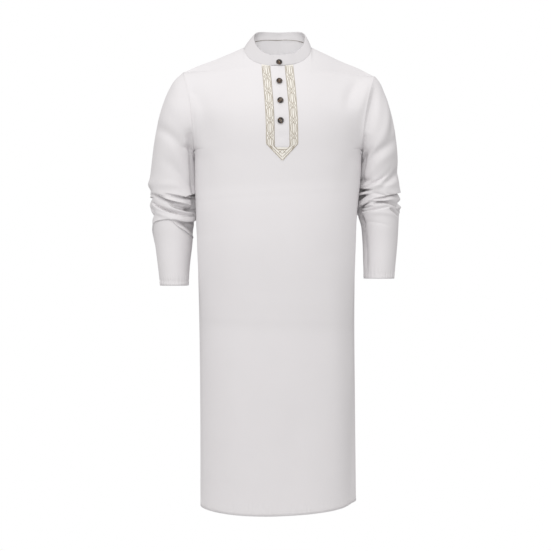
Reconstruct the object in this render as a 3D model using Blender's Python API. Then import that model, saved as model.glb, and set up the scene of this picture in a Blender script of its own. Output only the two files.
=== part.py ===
"""Thobe: a long, straight, white robe with a stand collar, a buttoned half placket inside an
embroidered trim, and long sleeves bunched at the elbows.

The robe keeps the hollow form that it has when it is worn. X runs across the shoulders, the
front faces -Y, and Z is up. The origin lies between the two high points of the shoulders, at
the height where the neck seam meets the shoulder seams. All sizes are in metres.

Every cloth piece is an outer surface worked out from the tables below, with a wall that grows
inwards from it. Pieces stop a hair short of each other at every seam.
"""
import math

import bmesh
import bpy
import numpy as np
from mathutils import Matrix, Vector

# ---------------------------------------------------------------- driving dimensions
CLOTH_WALL = 0.0015          # body and sleeves
BAND_WALL = 0.0022           # collar: two layers of cloth and an interlining
STRIP_WALL = 0.0012          # placket strips
TRIM_WALL = 0.0010           # embroidered tape
SEAM_GAP = 0.0004            # clear space left between two pieces at a seam
LAY_GAP = 0.0005             # clear space under a piece that lies on another

HEM_HEIGHT = -1.1535         # hem at the middle of the body
HEM_TILT = 0.028             # the hem hangs a little lower at the wearer's right
HEM_SWEEP = 0.20             # and rises to the side seams, by the square of x
ARMPIT_HEIGHT = -0.262
ARMHOLE_TOP = -0.069         # mean height of the two shoulder points
SIDE_LINE = -0.020           # the side seams run this far in front of the shoulder seams
SHOULDER_X = {"left": -0.2416, "right": 0.2440}
ARMHOLE_DEPTH = 0.070        # half of the armhole's opening, front to back
ARMHOLE_SCOOP = 0.009        # how far the armhole's edge is cut in at mid height

NECK_X = -0.002              # middle of the neck
NECK_HALF = 0.0845           # half of the neck seam's width
NECK_FRONT_DROP = 0.060
NECK_BACK_RISE = 0.027
NECK_FRONT_POWER = 2.3       # a superellipse: 2 is an ellipse, more is squarer
NECK_BACK_POWER = 2.2
NECK_FRONT_CREST = 0.012     # where the chest and the nape would end with no neck hole
NECK_BACK_CREST = 0.063
NECK_FRONT_SAG = -0.022      # how much the chest and the nape differ from the shoulders' lines
NECK_BACK_SAG = 0.020
NECK_SPREAD = 0.060          # over this distance from the neck's middle
NECK_BLEND = 0.070           # height below the neck over which its form fades out

SHOULDER_ROUND_FRONT = 0.24  # height over which the chest rounds over into the shoulder
SHOULDER_ROUND_BACK = 0.22
SHOULDER_ROUND_POWER = 0.6
SECTION_POWER = 2.3          # body sections, again as a superellipse
CHEST_BLEND = 0.14           # height over which the side's round turns into the armhole's edge
EDGE_BELOW = 0.055           # the armhole starts to shape the panel this far under the armpit
EDGE_BLEND = 0.153           # and does so fully this much higher, at its widest
EDGE_HOLD = 24               # power that keeps the armhole's exact edge at the edge

PLACKET_HALF = 0.0175        # half the width of the strip that shows
SLOT_HALF = 0.0165           # half the width of the cut in the front under it
PLACKET_END = -0.262
PLACKET_LAP = 0.003          # the strip reaches this far past the cut
TRIM_SPACE = 0.0004          # between the strip's edge and the trim's
TRIM_WIDTH = 0.0210
TRIM_TIP = -0.2975
TRIM_TIP_HALF = 0.0012
TRIM_CORNER = -0.2568        # the outer edge turns in to the point here

STRIP_TOP_DROP = 0.0016      # plackets and trim stop this far under the neck seam

COLLAR_TOP_X = 0.0025        # middle of the collar's upper edge
COLLAR_TOP_HALF = 0.0650
COLLAR_TOP_SQUARE = 0.85     # power of the upper edge's sine: 1 is an ellipse, less is squarer
COLLAR_TOP_FRONT_Y = -0.066
COLLAR_TOP_BACK_Y = 0.050
COLLAR_TOP_FRONT = -0.0318
COLLAR_TOP_SIDE = 0.0320
COLLAR_TOP_BACK = 0.0476
COLLAR_FRONT_FLAT = 0.95     # powers that shape the upper edge's fall and rise
COLLAR_BACK_ROUND = 8
COLLAR_BACK_POWER = 0.7
COLLAR_OVER_END = -0.0190    # the buttonhole end of the collar lies over the button end
COLLAR_UNDER_END = 0.0170
COLLAR_LAP_START = 0.0480    # the over end starts to leave the ring here
COLLAR_LAP_FULL = 0.0230
COLLAR_LAP_GAP = 0.0005
COLLAR_LIFT = 0.0009         # the collar starts this far above the neck seam
COLLAR_BOW = 0.0012

SLEEVE_LIFT = 0.0009         # the sleeve starts this far outside the armhole's edge
BUTTON_RADIUS = 0.0075
BUTTON_THICK = 0.0030
BUTTON_HOLE_RADIUS = 0.0009
BUTTON_HOLE_SPREAD = 0.0016
BUTTON_STAND = 0.0013        # between the cloth and the button's back
BUTTON_COLLAR_SHARE = 0.24   # the top button's place between the neck seam and the collar's top
BUTTON_PROFILE = (           # radius and height, from the middle of the back to the face
    (0.0, 0.0),
    (0.0060, 0.0),
    (BUTTON_RADIUS, 0.0009),
    (BUTTON_RADIUS, 0.0021),
    (0.0068, BUTTON_THICK),
    (0.0059, BUTTON_THICK),
    (0.0050, 0.0021),
    (0.0, 0.0020),
)
BUTTON_X = (0.0002, 0.0014, 0.0040, 0.0047)
BUTTON_HEIGHTS = (-0.0455, -0.102, -0.1515, -0.201)

# ---------------------------------------------------------------- section tables
# Body sections. left and right are half widths up to the armpit; front and back are depths
# from the side line.
BODY_COLUMNS = ("height", "left", "right", "front", "back")
BODY_SECTIONS = (
    (-1.160, 0.1960, 0.1945, 0.131, 0.165),
    (-0.900, 0.1965, 0.1920, 0.125, 0.158),
    (-0.640, 0.2000, 0.1905, 0.119, 0.150),
    (-0.500, 0.2040, 0.1930, 0.117, 0.146),
    (-0.420, 0.2078, 0.1972, 0.116, 0.144),
    (-0.330, 0.2100, 0.2060, 0.116, 0.142),
    (-0.262, 0.2110, 0.2090, 0.117, 0.141),
    (-0.150, 0.2110, 0.2090, 0.126, 0.134),
    (-0.060, 0.2110, 0.2090, 0.127, 0.125),
    (0.060, 0.2110, 0.2090, 0.127, 0.120),
)

# The shoulder seams, by distance from the middle of the neck. The rows inside the neck carry
# their lines on, for the cloth that hangs below it.
RIDGE_COLUMNS = ("distance", "left", "right")
RIDGE_SECTIONS = (
    (0.0000, 0.0340, 0.0340),
    (0.0400, 0.0195, 0.0200),
    (0.0845, 0.0000, 0.0000),
    (0.1200, -0.0155, -0.0165),
    (0.1600, -0.0320, -0.0355),
    (0.2000, -0.0465, -0.0515),
    (0.2400, -0.0645, -0.0715),
    (0.2800, -0.0830, -0.0900),
)

# The placket's middle line leans towards the wearer's left on its way down.
LEAN_COLUMNS = ("height", "x")
LEAN_SECTIONS = (
    (-0.340, 0.0092),
    (-0.300, 0.0091),
    (-0.257, 0.0084),
    (-0.190, 0.0072),
    (-0.120, 0.0025),
    (-0.060, -0.0028),
    (0.000, -0.0060),
)

# Sleeve sections, from the armhole to the sleeve end. Each one is an oval ring through an
# outer point and an inner point; at the armhole it stands almost upright, and it turns about
# the armpit until it lies level. depth is half its size from front to back.
SLEEVE_COLUMNS = ("outer_height", "outer_x", "outer_y", "inner_x", "inner_height", "inner_y",
                  "depth")
SLEEVE_SECTIONS = {
    "left": (
        (-0.6015, 0.2976, -0.016, 0.2265, -0.6015, -0.016, 0.0465),
        (-0.5500, 0.3044, -0.008, 0.2236, -0.5500, -0.008, 0.0520),
        (-0.4900, 0.3132, 0.004, 0.2176, -0.4900, 0.004, 0.0600),
        (-0.4550, 0.3185, 0.010, 0.2156, -0.4550, 0.010, 0.0660),
        (-0.4200, 0.3225, 0.014, 0.2088, -0.4200, 0.014, 0.0690),
        (-0.3800, 0.3238, 0.016, 0.2064, -0.3820, 0.016, 0.0710),
        (-0.3480, 0.3288, 0.015, 0.2070, -0.3550, 0.014, 0.0730),
        (-0.3180, 0.3246, 0.013, 0.2074, -0.3350, 0.012, 0.0740),
        (-0.2850, 0.3207, 0.011, 0.2088, -0.3130, 0.010, 0.0760),
        (-0.2360, 0.3140, 0.009, 0.2100, -0.2900, 0.004, 0.0780),
        (-0.1900, 0.3055, 0.007, 0.2112, -0.2780, -0.004, 0.0780),
        (-0.1450, 0.2925, 0.005, 0.2124, -0.2705, -0.010, 0.0765),
        (-0.1070, 0.2765, 0.003, 0.2132, -0.2660, -0.015, 0.0740),
        (-0.0800, 0.2590, 0.001, 0.2126, -0.2632, -0.018, 0.0715),
        (-0.0651, 0.2416, 0.000, 0.2110, -0.2620, -0.020, 0.0700),
    ),
    "right": (
        (-0.5840, 0.2906, -0.016, 0.2146, -0.5840, -0.016, 0.0465),
        (-0.5400, 0.2956, -0.008, 0.2136, -0.5400, -0.008, 0.0520),
        (-0.4870, 0.3014, 0.004, 0.2126, -0.4870, 0.004, 0.0600),
        (-0.4500, 0.3040, 0.010, 0.2094, -0.4500, 0.010, 0.0660),
        (-0.4100, 0.3060, 0.014, 0.1980, -0.4100, 0.014, 0.0690),
        (-0.3750, 0.3055, 0.016, 0.1998, -0.3770, 0.016, 0.0710),
        (-0.3480, 0.3072, 0.015, 0.2018, -0.3550, 0.014, 0.0730),
        (-0.3180, 0.3018, 0.013, 0.2036, -0.3350, 0.012, 0.0740),
        (-0.2850, 0.3020, 0.011, 0.2058, -0.3130, 0.010, 0.0760),
        (-0.2360, 0.2980, 0.009, 0.2076, -0.2900, 0.004, 0.0780),
        (-0.1960, 0.2915, 0.007, 0.2094, -0.2780, -0.004, 0.0780),
        (-0.1500, 0.2805, 0.005, 0.2106, -0.2705, -0.010, 0.0765),
        (-0.1150, 0.2672, 0.003, 0.2112, -0.2660, -0.015, 0.0740),
        (-0.0880, 0.2550, 0.001, 0.2106, -0.2632, -0.018, 0.0715),
        (-0.0738, 0.2440, 0.000, 0.2090, -0.2620, -0.020, 0.0700),
    ),
}

# Elbow folds. Each runs on a curve through three places, each given by the angle round the
# sleeve (0 outside, 90 front, 180 inside, -90 back) and the height. rise is how far the crest
# stands out, or the crease sinks in, and width is half of it across.
FOLD_COLUMNS = ("start_angle", "start_height", "middle_angle", "middle_height", "end_angle",
                "end_height", "rise", "width")
FOLDS = {
    "left": (
        (-60, -0.343, 30, -0.352, 150, -0.386, 0.0060, 0.011),
        (-30, -0.376, 60, -0.384, 150, -0.400, -0.0080, 0.008),
        (-40, -0.402, 40, -0.401, 100, -0.402, 0.0040, 0.009),
        (70, -0.399, 120, -0.404, 175, -0.417, -0.0060, 0.006),
        (20, -0.404, 80, -0.420, 150, -0.428, -0.0050, 0.006),
        (-50, -0.431, 0, -0.428, 40, -0.424, -0.0050, 0.006),
        (-30, -0.450, 80, -0.434, 165, -0.466, 0.0060, 0.009),
        (-20, -0.462, 80, -0.450, 170, -0.480, -0.0030, 0.008),
        (185, -0.352, 235, -0.362, 290, -0.356, 0.0050, 0.011),
        (175, -0.386, 230, -0.380, 300, -0.379, -0.0070, 0.008),
        (190, -0.412, 240, -0.402, 300, -0.408, 0.0050, 0.010),
        (180, -0.436, 235, -0.428, 305, -0.430, -0.0060, 0.008),
        (195, -0.452, 240, -0.448, 300, -0.452, 0.0050, 0.010),
    ),
    "right": (
        (-60, -0.352, 20, -0.356, 120, -0.352, 0.0065, 0.011),
        (-20, -0.371, 60, -0.372, 165, -0.362, -0.0080, 0.007),
        (-50, -0.386, 40, -0.382, 160, -0.378, 0.0050, 0.008),
        (-20, -0.396, 70, -0.392, 170, -0.404, -0.0070, 0.006),
        (-40, -0.407, 30, -0.404, 90, -0.402, 0.0050, 0.008),
        (60, -0.410, 110, -0.409, 170, -0.412, -0.0040, 0.006),
        (-30, -0.424, 60, -0.420, 120, -0.424, 0.0035, 0.010),
        (-30, -0.446, 60, -0.450, 160, -0.446, -0.0030, 0.008),
        (185, -0.350, 235, -0.358, 290, -0.352, 0.0050, 0.011),
        (175, -0.378, 230, -0.384, 300, -0.374, -0.0070, 0.008),
        (190, -0.402, 240, -0.408, 300, -0.402, 0.0050, 0.010),
        (180, -0.430, 235, -0.424, 305, -0.422, -0.0060, 0.008),
        (195, -0.446, 240, -0.450, 300, -0.446, 0.0045, 0.010),
    ),
}
FOLD_REACH = 0.055           # a sleeve's radius at the elbow, which turns angles into lengths
FOLD_STEPS = 14

# ---------------------------------------------------------------- mesh density
NECK_STEPS = 6               # columns of the body from the placket to the neck's side
SHOULDER_STEPS = 7           # columns along one shoulder seam
ARMHOLE_STEPS = 12           # rows up one side of the armhole
BODY_STEPS = 12              # rows from the hem to the armpits
BODY_CROWDING = 1.7          # these rows lie closer together towards the armpits
CAP_STEPS = 11               # sleeve rings from the armhole to above the elbow
ELBOW_STEPS = 17
FOREARM_STEPS = 4
ELBOW_TOP = -0.335
ELBOW_END = -0.478

COLLAR_ROWS = 3
TRIM_POINT_ROWS = 4
BUTTON_SIDES = 18

WHITE = (0.80, 0.795, 0.80, 1.0)
CREAM = (0.72, 0.62, 0.42, 1.0)
TORTOISE = (0.045, 0.022, 0.012, 1.0)


# ---------------------------------------------------------------- curves through tables
def ease(part):
    """0 to 1 with no kink at either end."""
    part = np.clip(part, 0.0, 1.0)
    return part * part * (3 - 2 * part)


def course(table, columns, column, at):
    """One column of a table, on a smooth curve through its rows, at the given keys."""
    rows = np.array(table, dtype=float)
    order = np.argsort(rows[:, 0])
    keys = rows[order, 0]
    values = rows[order, columns.index(column)]
    slopes = np.gradient(values, keys)
    at = np.asarray(at, dtype=float)
    cell = np.clip(np.searchsorted(keys, at) - 1, 0, len(keys) - 2)
    span = keys[cell + 1] - keys[cell]
    part = np.clip((at - keys[cell]) / span, 0.0, 1.0)
    start = values[cell] * (1 + 2 * part) * (1 - part) ** 2
    end = values[cell + 1] * part ** 2 * (3 - 2 * part)
    leave = slopes[cell] * span * part * (1 - part) ** 2
    arrive = slopes[cell + 1] * span * part ** 2 * (part - 1)
    return start + end + leave + arrive


# ---------------------------------------------------------------- the body's surface
def body_course(column, height):
    return course(BODY_SECTIONS, BODY_COLUMNS, column, height)


def neck_reach(x, power):
    """1 at the middle of the neck and 0 at its sides and beyond, on a superellipse."""
    inside = np.clip(np.abs(x - NECK_X) / NECK_HALF, 0.0, 1.0)
    return (1 - inside ** power) ** (1 / power)


def shoulder_line(x):
    distance = np.abs(x - NECK_X)
    left = course(RIDGE_SECTIONS, RIDGE_COLUMNS, "left", distance)
    right = course(RIDGE_SECTIONS, RIDGE_COLUMNS, "right", distance)
    return np.where(x < NECK_X, left, right)


def ridge_height(x, back):
    """Height of the shoulder seam above x; inside the neck, where it would be."""
    outside = np.abs(x - NECK_X) >= NECK_HALF
    reach = neck_reach(x, NECK_BACK_POWER if back else NECK_FRONT_POWER)
    crest = (NECK_BACK_CREST if back else NECK_FRONT_CREST) * reach
    return np.where(outside, shoulder_line(x), crest)


def ridge_below(x, height, back):
    """The ridge that the cloth at this height hangs from: away from the neck seam its form
    fades into the shoulders' own lines."""
    ridge = ridge_height(x, back)
    spread = np.exp(-((x - NECK_X) / NECK_SPREAD) ** 2)
    wide = shoulder_line(x) + (NECK_BACK_SAG if back else NECK_FRONT_SAG) * spread
    return ridge + (wide - ridge) * ease((ridge - height) / NECK_BLEND)


def shoulder_height(side):
    return float(ridge_height(np.array(SHOULDER_X[side]), False))


def armhole_share(height, side):
    """0 at the shoulder point and above it, 1 at the armpit and below it."""
    top = shoulder_height(side)
    return np.clip((top - height) / (top - ARMPIT_HEIGHT), 0.0, 1.0)


def half_width(height, side):
    """Half width of the body: the side seam, and above the armpit the armhole's edge."""
    share = armhole_share(height, side)
    low = np.minimum(height, ARMPIT_HEIGHT)
    seam = body_course(side, low)
    shoulder = abs(SHOULDER_X[side])
    scoop = ARMHOLE_SCOOP * 4 * share * (1 - share)
    return np.where(height <= ARMPIT_HEIGHT, seam, shoulder + (seam - shoulder) * share - scoop)


def side_line(height):
    """Y of the side seam, and above the armpit of the armhole's middle, which runs smoothly
    from the shoulder seam, at 0, into the side seam."""
    return SIDE_LINE * ease((ARMHOLE_TOP - height) / (ARMHOLE_TOP - ARMPIT_HEIGHT))


def body_depth(x, height, back):
    """Y of the body's outer surface at x and height, on the front or the back."""
    left = x < 0
    share = np.where(left, armhole_share(height, "left"), armhole_share(height, "right"))
    width = np.where(left, half_width(height, "left"), half_width(height, "right"))
    across = np.clip(np.abs(x) / width, 0.0, 1.0)
    rounding = SHOULDER_ROUND_BACK if back else SHOULDER_ROUND_FRONT
    below = np.clip((ridge_below(x, height, back) - height) / rounding, 0.0, 1.0)
    full = body_course("back" if back else "front", height)
    full = full * np.clip(1 - (1 - below) ** 2, 0.0, 1.0) ** SHOULDER_ROUND_POWER
    edge = 2 * np.sqrt(share * (1 - share))
    away = ease((height - ARMPIT_HEIGHT + EDGE_BELOW) / EDGE_BLEND)
    away = np.where(share < 0.5, edge, away)
    edge = ARMHOLE_DEPTH * (away + (edge - away) * across ** EDGE_HOLD)
    power = 0.5 + 0.4 * ease((height - ARMPIT_HEIGHT + EDGE_BELOW) / CHEST_BLEND)
    crown = np.clip(1 - across ** SECTION_POWER, 0.0, 1.0) ** power
    depth = edge + (full - edge) * crown
    return side_line(height) + (depth if back else -depth)


def body_points(x, height, back):
    return np.stack([x, body_depth(x, height, back), height], axis=-1)


def front_normals(x, height):
    """Outward unit normals of the front, from small steps across and up."""
    step = 0.002
    across = body_points(x + step, height, False) - body_points(x - step, height, False)
    up = body_points(x, height + step, False) - body_points(x, height - step, False)
    normals = np.cross(across, up)
    return normals / np.linalg.norm(normals, axis=-1, keepdims=True)


def neck_height(x, back):
    """Height of the neck seam above x."""
    if back:
        return NECK_BACK_RISE * neck_reach(x, NECK_BACK_POWER)
    return -NECK_FRONT_DROP * neck_reach(x, NECK_FRONT_POWER)


def lean(height):
    return course(LEAN_SECTIONS, LEAN_COLUMNS, "x", height)


def hem_height(x):
    return HEM_HEIGHT + HEM_TILT * x + HEM_SWEEP * x ** 2


# ---------------------------------------------------------------- body panels
def neck_turns(back):
    """Turns round the neck where columns meet the neck seam, from the middle of the back or
    the placket's edge to the neck's side."""
    first = 0.0 if back else math.asin((SLOT_HALF / NECK_HALF) ** (NECK_FRONT_POWER / 2))
    return np.linspace(first, math.pi / 2, NECK_STEPS + 1)


def side_columns(side, back):
    """Where one half of a panel's columns meet the top edge and the armpits' level, from the
    middle outwards. The first column is the placket's edge, or the middle of the back."""
    sign = -1 if side == "left" else 1
    power = NECK_BACK_POWER if back else NECK_FRONT_POWER
    neck_top = sign * NECK_X + NECK_HALF * np.sin(neck_turns(back)) ** (2 / power)
    first_low = 0.0
    if not back:
        neck_top[0] = sign * float(lean(-NECK_FRONT_DROP)) + SLOT_HALF
        first_low = sign * float(lean(ARMPIT_HEIGHT)) + SLOT_HALF
    shoulder_top = np.linspace(neck_top[-1], abs(SHOULDER_X[side]), SHOULDER_STEPS + 1)[1:]
    top = np.concatenate([neck_top, shoulder_top])
    width = float(half_width(np.array(ARMPIT_HEIGHT), side))
    neck_low = np.linspace(first_low, NECK_HALF, NECK_STEPS + 1)
    start = math.asin(NECK_HALF / width)
    round_low = width * np.sin(np.linspace(start, math.pi / 2, SHOULDER_STEPS + 1)[1:])
    low = np.concatenate([neck_low, round_low])
    return sign * top, sign * low


def panel_points(back):
    """Rows of points of one body panel, from the hem up and from the left to the right."""
    left_top, left_low = side_columns("left", back)
    right_top, right_low = side_columns("right", back)
    if back:
        top_x = np.concatenate([left_top[::-1], right_top[1:]])
        low_x = np.concatenate([left_low[::-1], right_low[1:]])
    else:
        top_x = np.concatenate([left_top[::-1], [lean(-NECK_FRONT_DROP)], right_top])
        low_x = np.concatenate([left_low[::-1], [lean(ARMPIT_HEIGHT)], right_low])
    in_neck = np.abs(top_x - NECK_X) < NECK_HALF - 1e-6
    top_height = np.where(in_neck, neck_height(top_x, back), ridge_height(top_x, back))
    rows = []
    width = np.where(low_x < 0, half_width(ARMPIT_HEIGHT, "left"),
                     half_width(ARMPIT_HEIGHT, "right"))
    for step in range(BODY_STEPS):
        left_over = (1 - step / BODY_STEPS) ** BODY_CROWDING
        height = ARMPIT_HEIGHT + (hem_height(low_x) - ARMPIT_HEIGHT) * left_over
        here = np.where(low_x < 0, half_width(height, "left"), half_width(height, "right"))
        rows.append(body_points(low_x * here / width, height, back))
    edge_weight = (np.abs(low_x) / width) ** 6
    for step in range(ARMHOLE_STEPS + 1):
        climb = (1 - math.cos(math.pi * step / ARMHOLE_STEPS)) / 2
        height = ARMPIT_HEIGHT + (top_height - ARMPIT_HEIGHT) * climb
        x = low_x + (top_x - low_x) * climb
        x = x - np.sign(x) * edge_weight * ARMHOLE_SCOOP * 4 * climb * (1 - climb)
        rows.append(body_points(x, height, back))
    points = np.array(rows)
    points[..., 1] += SEAM_GAP / 2 if back else -SEAM_GAP / 2
    return points


# ---------------------------------------------------------------- sleeves
def sleeve_ring(side, outer_height, angles):
    """Points of one sleeve ring with no folds; angles in radians, 0 outside, pi/2 front."""
    sign = -1 if side == "left" else 1

    def at(column):
        return float(course(SLEEVE_SECTIONS[side], SLEEVE_COLUMNS, column, outer_height))

    outer = np.array([at("outer_x"), at("outer_y"), outer_height])
    inner = np.array([at("inner_x"), at("inner_y"), at("inner_height")])
    share = (1 - np.cos(angles)) / 2
    ring = outer + (inner - outer) * share[:, None]
    ring[:, 1] -= at("depth") * np.sin(angles)
    stand = (outer[2] - inner[2]) / (shoulder_height(side) - ARMPIT_HEIGHT)
    upright = max(stand, 0.0) ** 4
    ring[:, 0] -= ARMHOLE_SCOOP * np.sin(angles) ** 2 * upright
    ring[:, 1] += SIDE_LINE * (ease(share) - share) * upright
    ring[:, 0] *= sign
    return ring


def fold_relief(side, angles, heights):
    """How far the sleeve's cloth stands out or sinks in at each angle and height."""
    relief = np.zeros_like(heights)
    for row in FOLDS[side]:
        fold = dict(zip(FOLD_COLUMNS, row))
        part = np.linspace(0, 1, FOLD_STEPS)
        ends = (1 - part) * (1 - 2 * part), 4 * part * (1 - part), part * (2 * part - 1)
        line_angle = ends[0] * fold["start_angle"] + ends[1] * fold["middle_angle"]
        line_angle = np.radians(line_angle + ends[2] * fold["end_angle"])
        line_height = ends[0] * fold["start_height"] + ends[1] * fold["middle_height"]
        line_height = line_height + ends[2] * fold["end_height"]
        turn = angles[..., None] - line_angle
        turn = (turn + math.pi) % (2 * math.pi) - math.pi
        away = (turn * FOLD_REACH) ** 2 + (heights[..., None] - line_height) ** 2
        nearest = np.argmin(away, axis=-1)
        distance = np.sqrt(np.min(away, axis=-1))
        strength = np.sin(math.pi * (0.12 + 0.76 * part[nearest]))
        relief += fold["rise"] * strength * np.exp(-(distance / fold["width"]) ** 2)
    return relief


def sleeve_heights(side):
    top = shoulder_height(side)
    end = SLEEVE_SECTIONS[side][0][0]
    cap = [top + (ELBOW_TOP - top) * (1 - math.cos(math.pi / 2 * k / CAP_STEPS))
           for k in range(CAP_STEPS)]
    elbow = list(np.linspace(ELBOW_TOP, ELBOW_END, ELBOW_STEPS + 1))
    forearm = list(np.linspace(ELBOW_END, end, FOREARM_STEPS + 1)[1:])
    return cap + elbow + forearm


def sleeve_points(side):
    around = 2 * ARMHOLE_STEPS
    angles = np.linspace(0, 2 * math.pi, around + 1)
    points = np.array([sleeve_ring(side, height, angles) for height in sleeve_heights(side)])
    middle = points[:, :-1].mean(axis=1, keepdims=True)
    out = points - middle
    out = out / np.linalg.norm(out, axis=-1, keepdims=True)
    relief = fold_relief(side, np.broadcast_to(angles, points.shape[:2]), points[..., 2])
    points = points + out * relief[..., None]
    sign = -1 if side == "left" else 1
    start = np.array([sign * SLEEVE_LIFT, 0.0, 0.0])
    fade = np.array([max(0.0, 1 - row / 3) for row in range(len(points))])
    return points + start * fade[:, None, None]


# ---------------------------------------------------------------- collar
def signed_power(value, power):
    return np.sign(value) * np.abs(value) ** power


def collar_turn(x):
    """Turn round the neck, in radians from the front middle, where the neck seam passes x."""
    return math.asin(signed_power((x - NECK_X) / NECK_HALF, NECK_FRONT_POWER / 2))


def collar_low(turns):
    """The neck seam: the collar's lower edge."""
    back = np.cos(turns) < 0
    power = np.where(back, 2 / NECK_BACK_POWER, 2 / NECK_FRONT_POWER)
    x = NECK_X + NECK_HALF * signed_power(np.sin(turns), power)
    height = np.where(back, neck_height(x, True), neck_height(x, False))
    depth = np.where(back, body_depth(x, height, True), body_depth(x, height, False))
    return np.stack([x, depth, height + COLLAR_LIFT], axis=-1)


def collar_high(turns):
    """The collar's upper edge: smaller than the neck seam, and tilted down to the front."""
    back = np.cos(turns) < 0
    reach = np.abs(np.cos(turns))
    x = COLLAR_TOP_X + COLLAR_TOP_HALF * signed_power(np.sin(turns), COLLAR_TOP_SQUARE)
    depth = np.where(back, COLLAR_TOP_BACK_Y * reach, COLLAR_TOP_FRONT_Y * reach)
    across = np.abs(x - COLLAR_TOP_X) / COLLAR_TOP_HALF
    crown = np.clip(1 - across ** COLLAR_BACK_ROUND, 0.0, 1.0) ** COLLAR_BACK_POWER
    rise = (COLLAR_TOP_BACK - COLLAR_TOP_SIDE) * crown
    drop = (COLLAR_TOP_FRONT - COLLAR_TOP_SIDE) * reach ** COLLAR_FRONT_FLAT
    return np.stack([x, depth, COLLAR_TOP_SIDE + np.where(back, rise, drop)], axis=-1)


def collar_ring(turns, share):
    """Points of the collar's outer surface, share 0 at the neck seam and 1 at the top."""
    low = collar_low(turns)
    high = collar_high(turns)
    out = np.stack([np.sin(turns), -np.cos(turns), np.zeros_like(turns)], axis=-1)
    return low + (high - low) * share + out * COLLAR_BOW * 4 * share * (1 - share)


def collar_normals(turns, share):
    step = 0.03
    across = collar_ring(turns + step, share) - collar_ring(turns - step, share)
    up = collar_ring(turns, share + step) - collar_ring(turns, share - step)
    normals = np.cross(across, up)
    return normals / np.linalg.norm(normals, axis=-1, keepdims=True)


def collar_lap(turns):
    """How far the over end stands out, so that it clears the under end."""
    start = collar_turn(COLLAR_LAP_START) - 2 * math.pi
    full = collar_turn(COLLAR_LAP_FULL) - 2 * math.pi
    return (BAND_WALL + COLLAR_LAP_GAP) * ease((start - turns) / (start - full))


def collar_points():
    """Rows of points from the neck seam up; columns run from the under end, round the back,
    to the over end."""
    full = 2 * math.pi
    front = neck_turns(False)
    back = neck_turns(True)
    under_end = np.linspace(collar_turn(COLLAR_UNDER_END), 0, 3)
    over_end = np.linspace(-full, collar_turn(COLLAR_OVER_END) - full, 3)
    turns = np.concatenate([under_end, -front, back[-2::-1] - math.pi, -math.pi - back[1:],
                            front[-2::-1] - full, over_end])
    rows = []
    for share in np.linspace(0, 1, COLLAR_ROWS + 1):
        lap = collar_lap(turns)[:, None] * collar_normals(turns, share)
        rows.append(collar_ring(turns, share) + lap)
    return np.array(rows)


# ---------------------------------------------------------------- placket and trim
def band_points(offsets, low_heights, top_drop, lift):
    """Points of a band on the front: columns at offsets from the placket's middle line, each
    from its own low height up to just under the neck seam, lifted off the cloth."""
    top_x = lean(-NECK_FRONT_DROP) + offsets
    top = neck_height(top_x, False) - top_drop
    rows = []
    for step in range(2 * ARMHOLE_STEPS + 1):
        climb = (1 - math.cos(math.pi * step / (2 * ARMHOLE_STEPS))) / 2
        height = low_heights + (top - low_heights) * climb
        x = lean(height) + offsets
        rows.append(body_points(x, height, False) + front_normals(x, height) * lift)
    return np.array(rows)


def strip_points(lift):
    offsets = np.array([-PLACKET_HALF, 0.0, PLACKET_HALF])
    low = np.full(3, PLACKET_END - PLACKET_LAP)
    return band_points(offsets, low, STRIP_TOP_DROP, lift)


def trim_points():
    """The trim's two bands and its pointed end in one grid; the middle columns above the
    pointed end are left open."""
    inner = PLACKET_HALF + TRIM_SPACE
    outer = inner + TRIM_WIDTH
    middle = (inner + outer) / 2
    offsets = np.array([-outer, -middle, -inner, 0.0, inner, middle, outer])
    bar = PLACKET_END - PLACKET_LAP - TRIM_SPACE
    low = bar + (TRIM_CORNER - bar) * np.clip((np.abs(offsets) - inner) / TRIM_WIDTH, 0.0, 1.0)
    lift = LAY_GAP + TRIM_WALL
    bands = band_points(offsets, low, STRIP_TOP_DROP, lift)
    rows = []
    for share in np.linspace(0, 1, TRIM_POINT_ROWS + 1)[:-1]:
        heights = TRIM_TIP + (low - TRIM_TIP) * share
        width = TRIM_TIP_HALF + (outer - TRIM_TIP_HALF) * share
        x = lean(heights) + offsets * width / outer
        rows.append(body_points(x, heights, False) + front_normals(x, heights) * lift)
    return np.concatenate([np.array(rows), bands])


# ---------------------------------------------------------------- making objects
def make_material(name, colour, roughness):
    material = bpy.data.materials.new(name)
    material.use_nodes = True
    shader = material.node_tree.nodes["Principled BSDF"]
    shader.inputs["Base Color"].default_value = colour
    shader.inputs["Roughness"].default_value = roughness
    shader.inputs["Metallic"].default_value = 0.0
    material.diffuse_color = colour
    return material


def add_object(name, mesh, material, parent):
    mesh.materials.clear()
    mesh.materials.append(material)
    part = bpy.data.objects.new(name, mesh)
    bpy.context.scene.collection.objects.link(part)
    part.parent = parent
    return part


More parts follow.
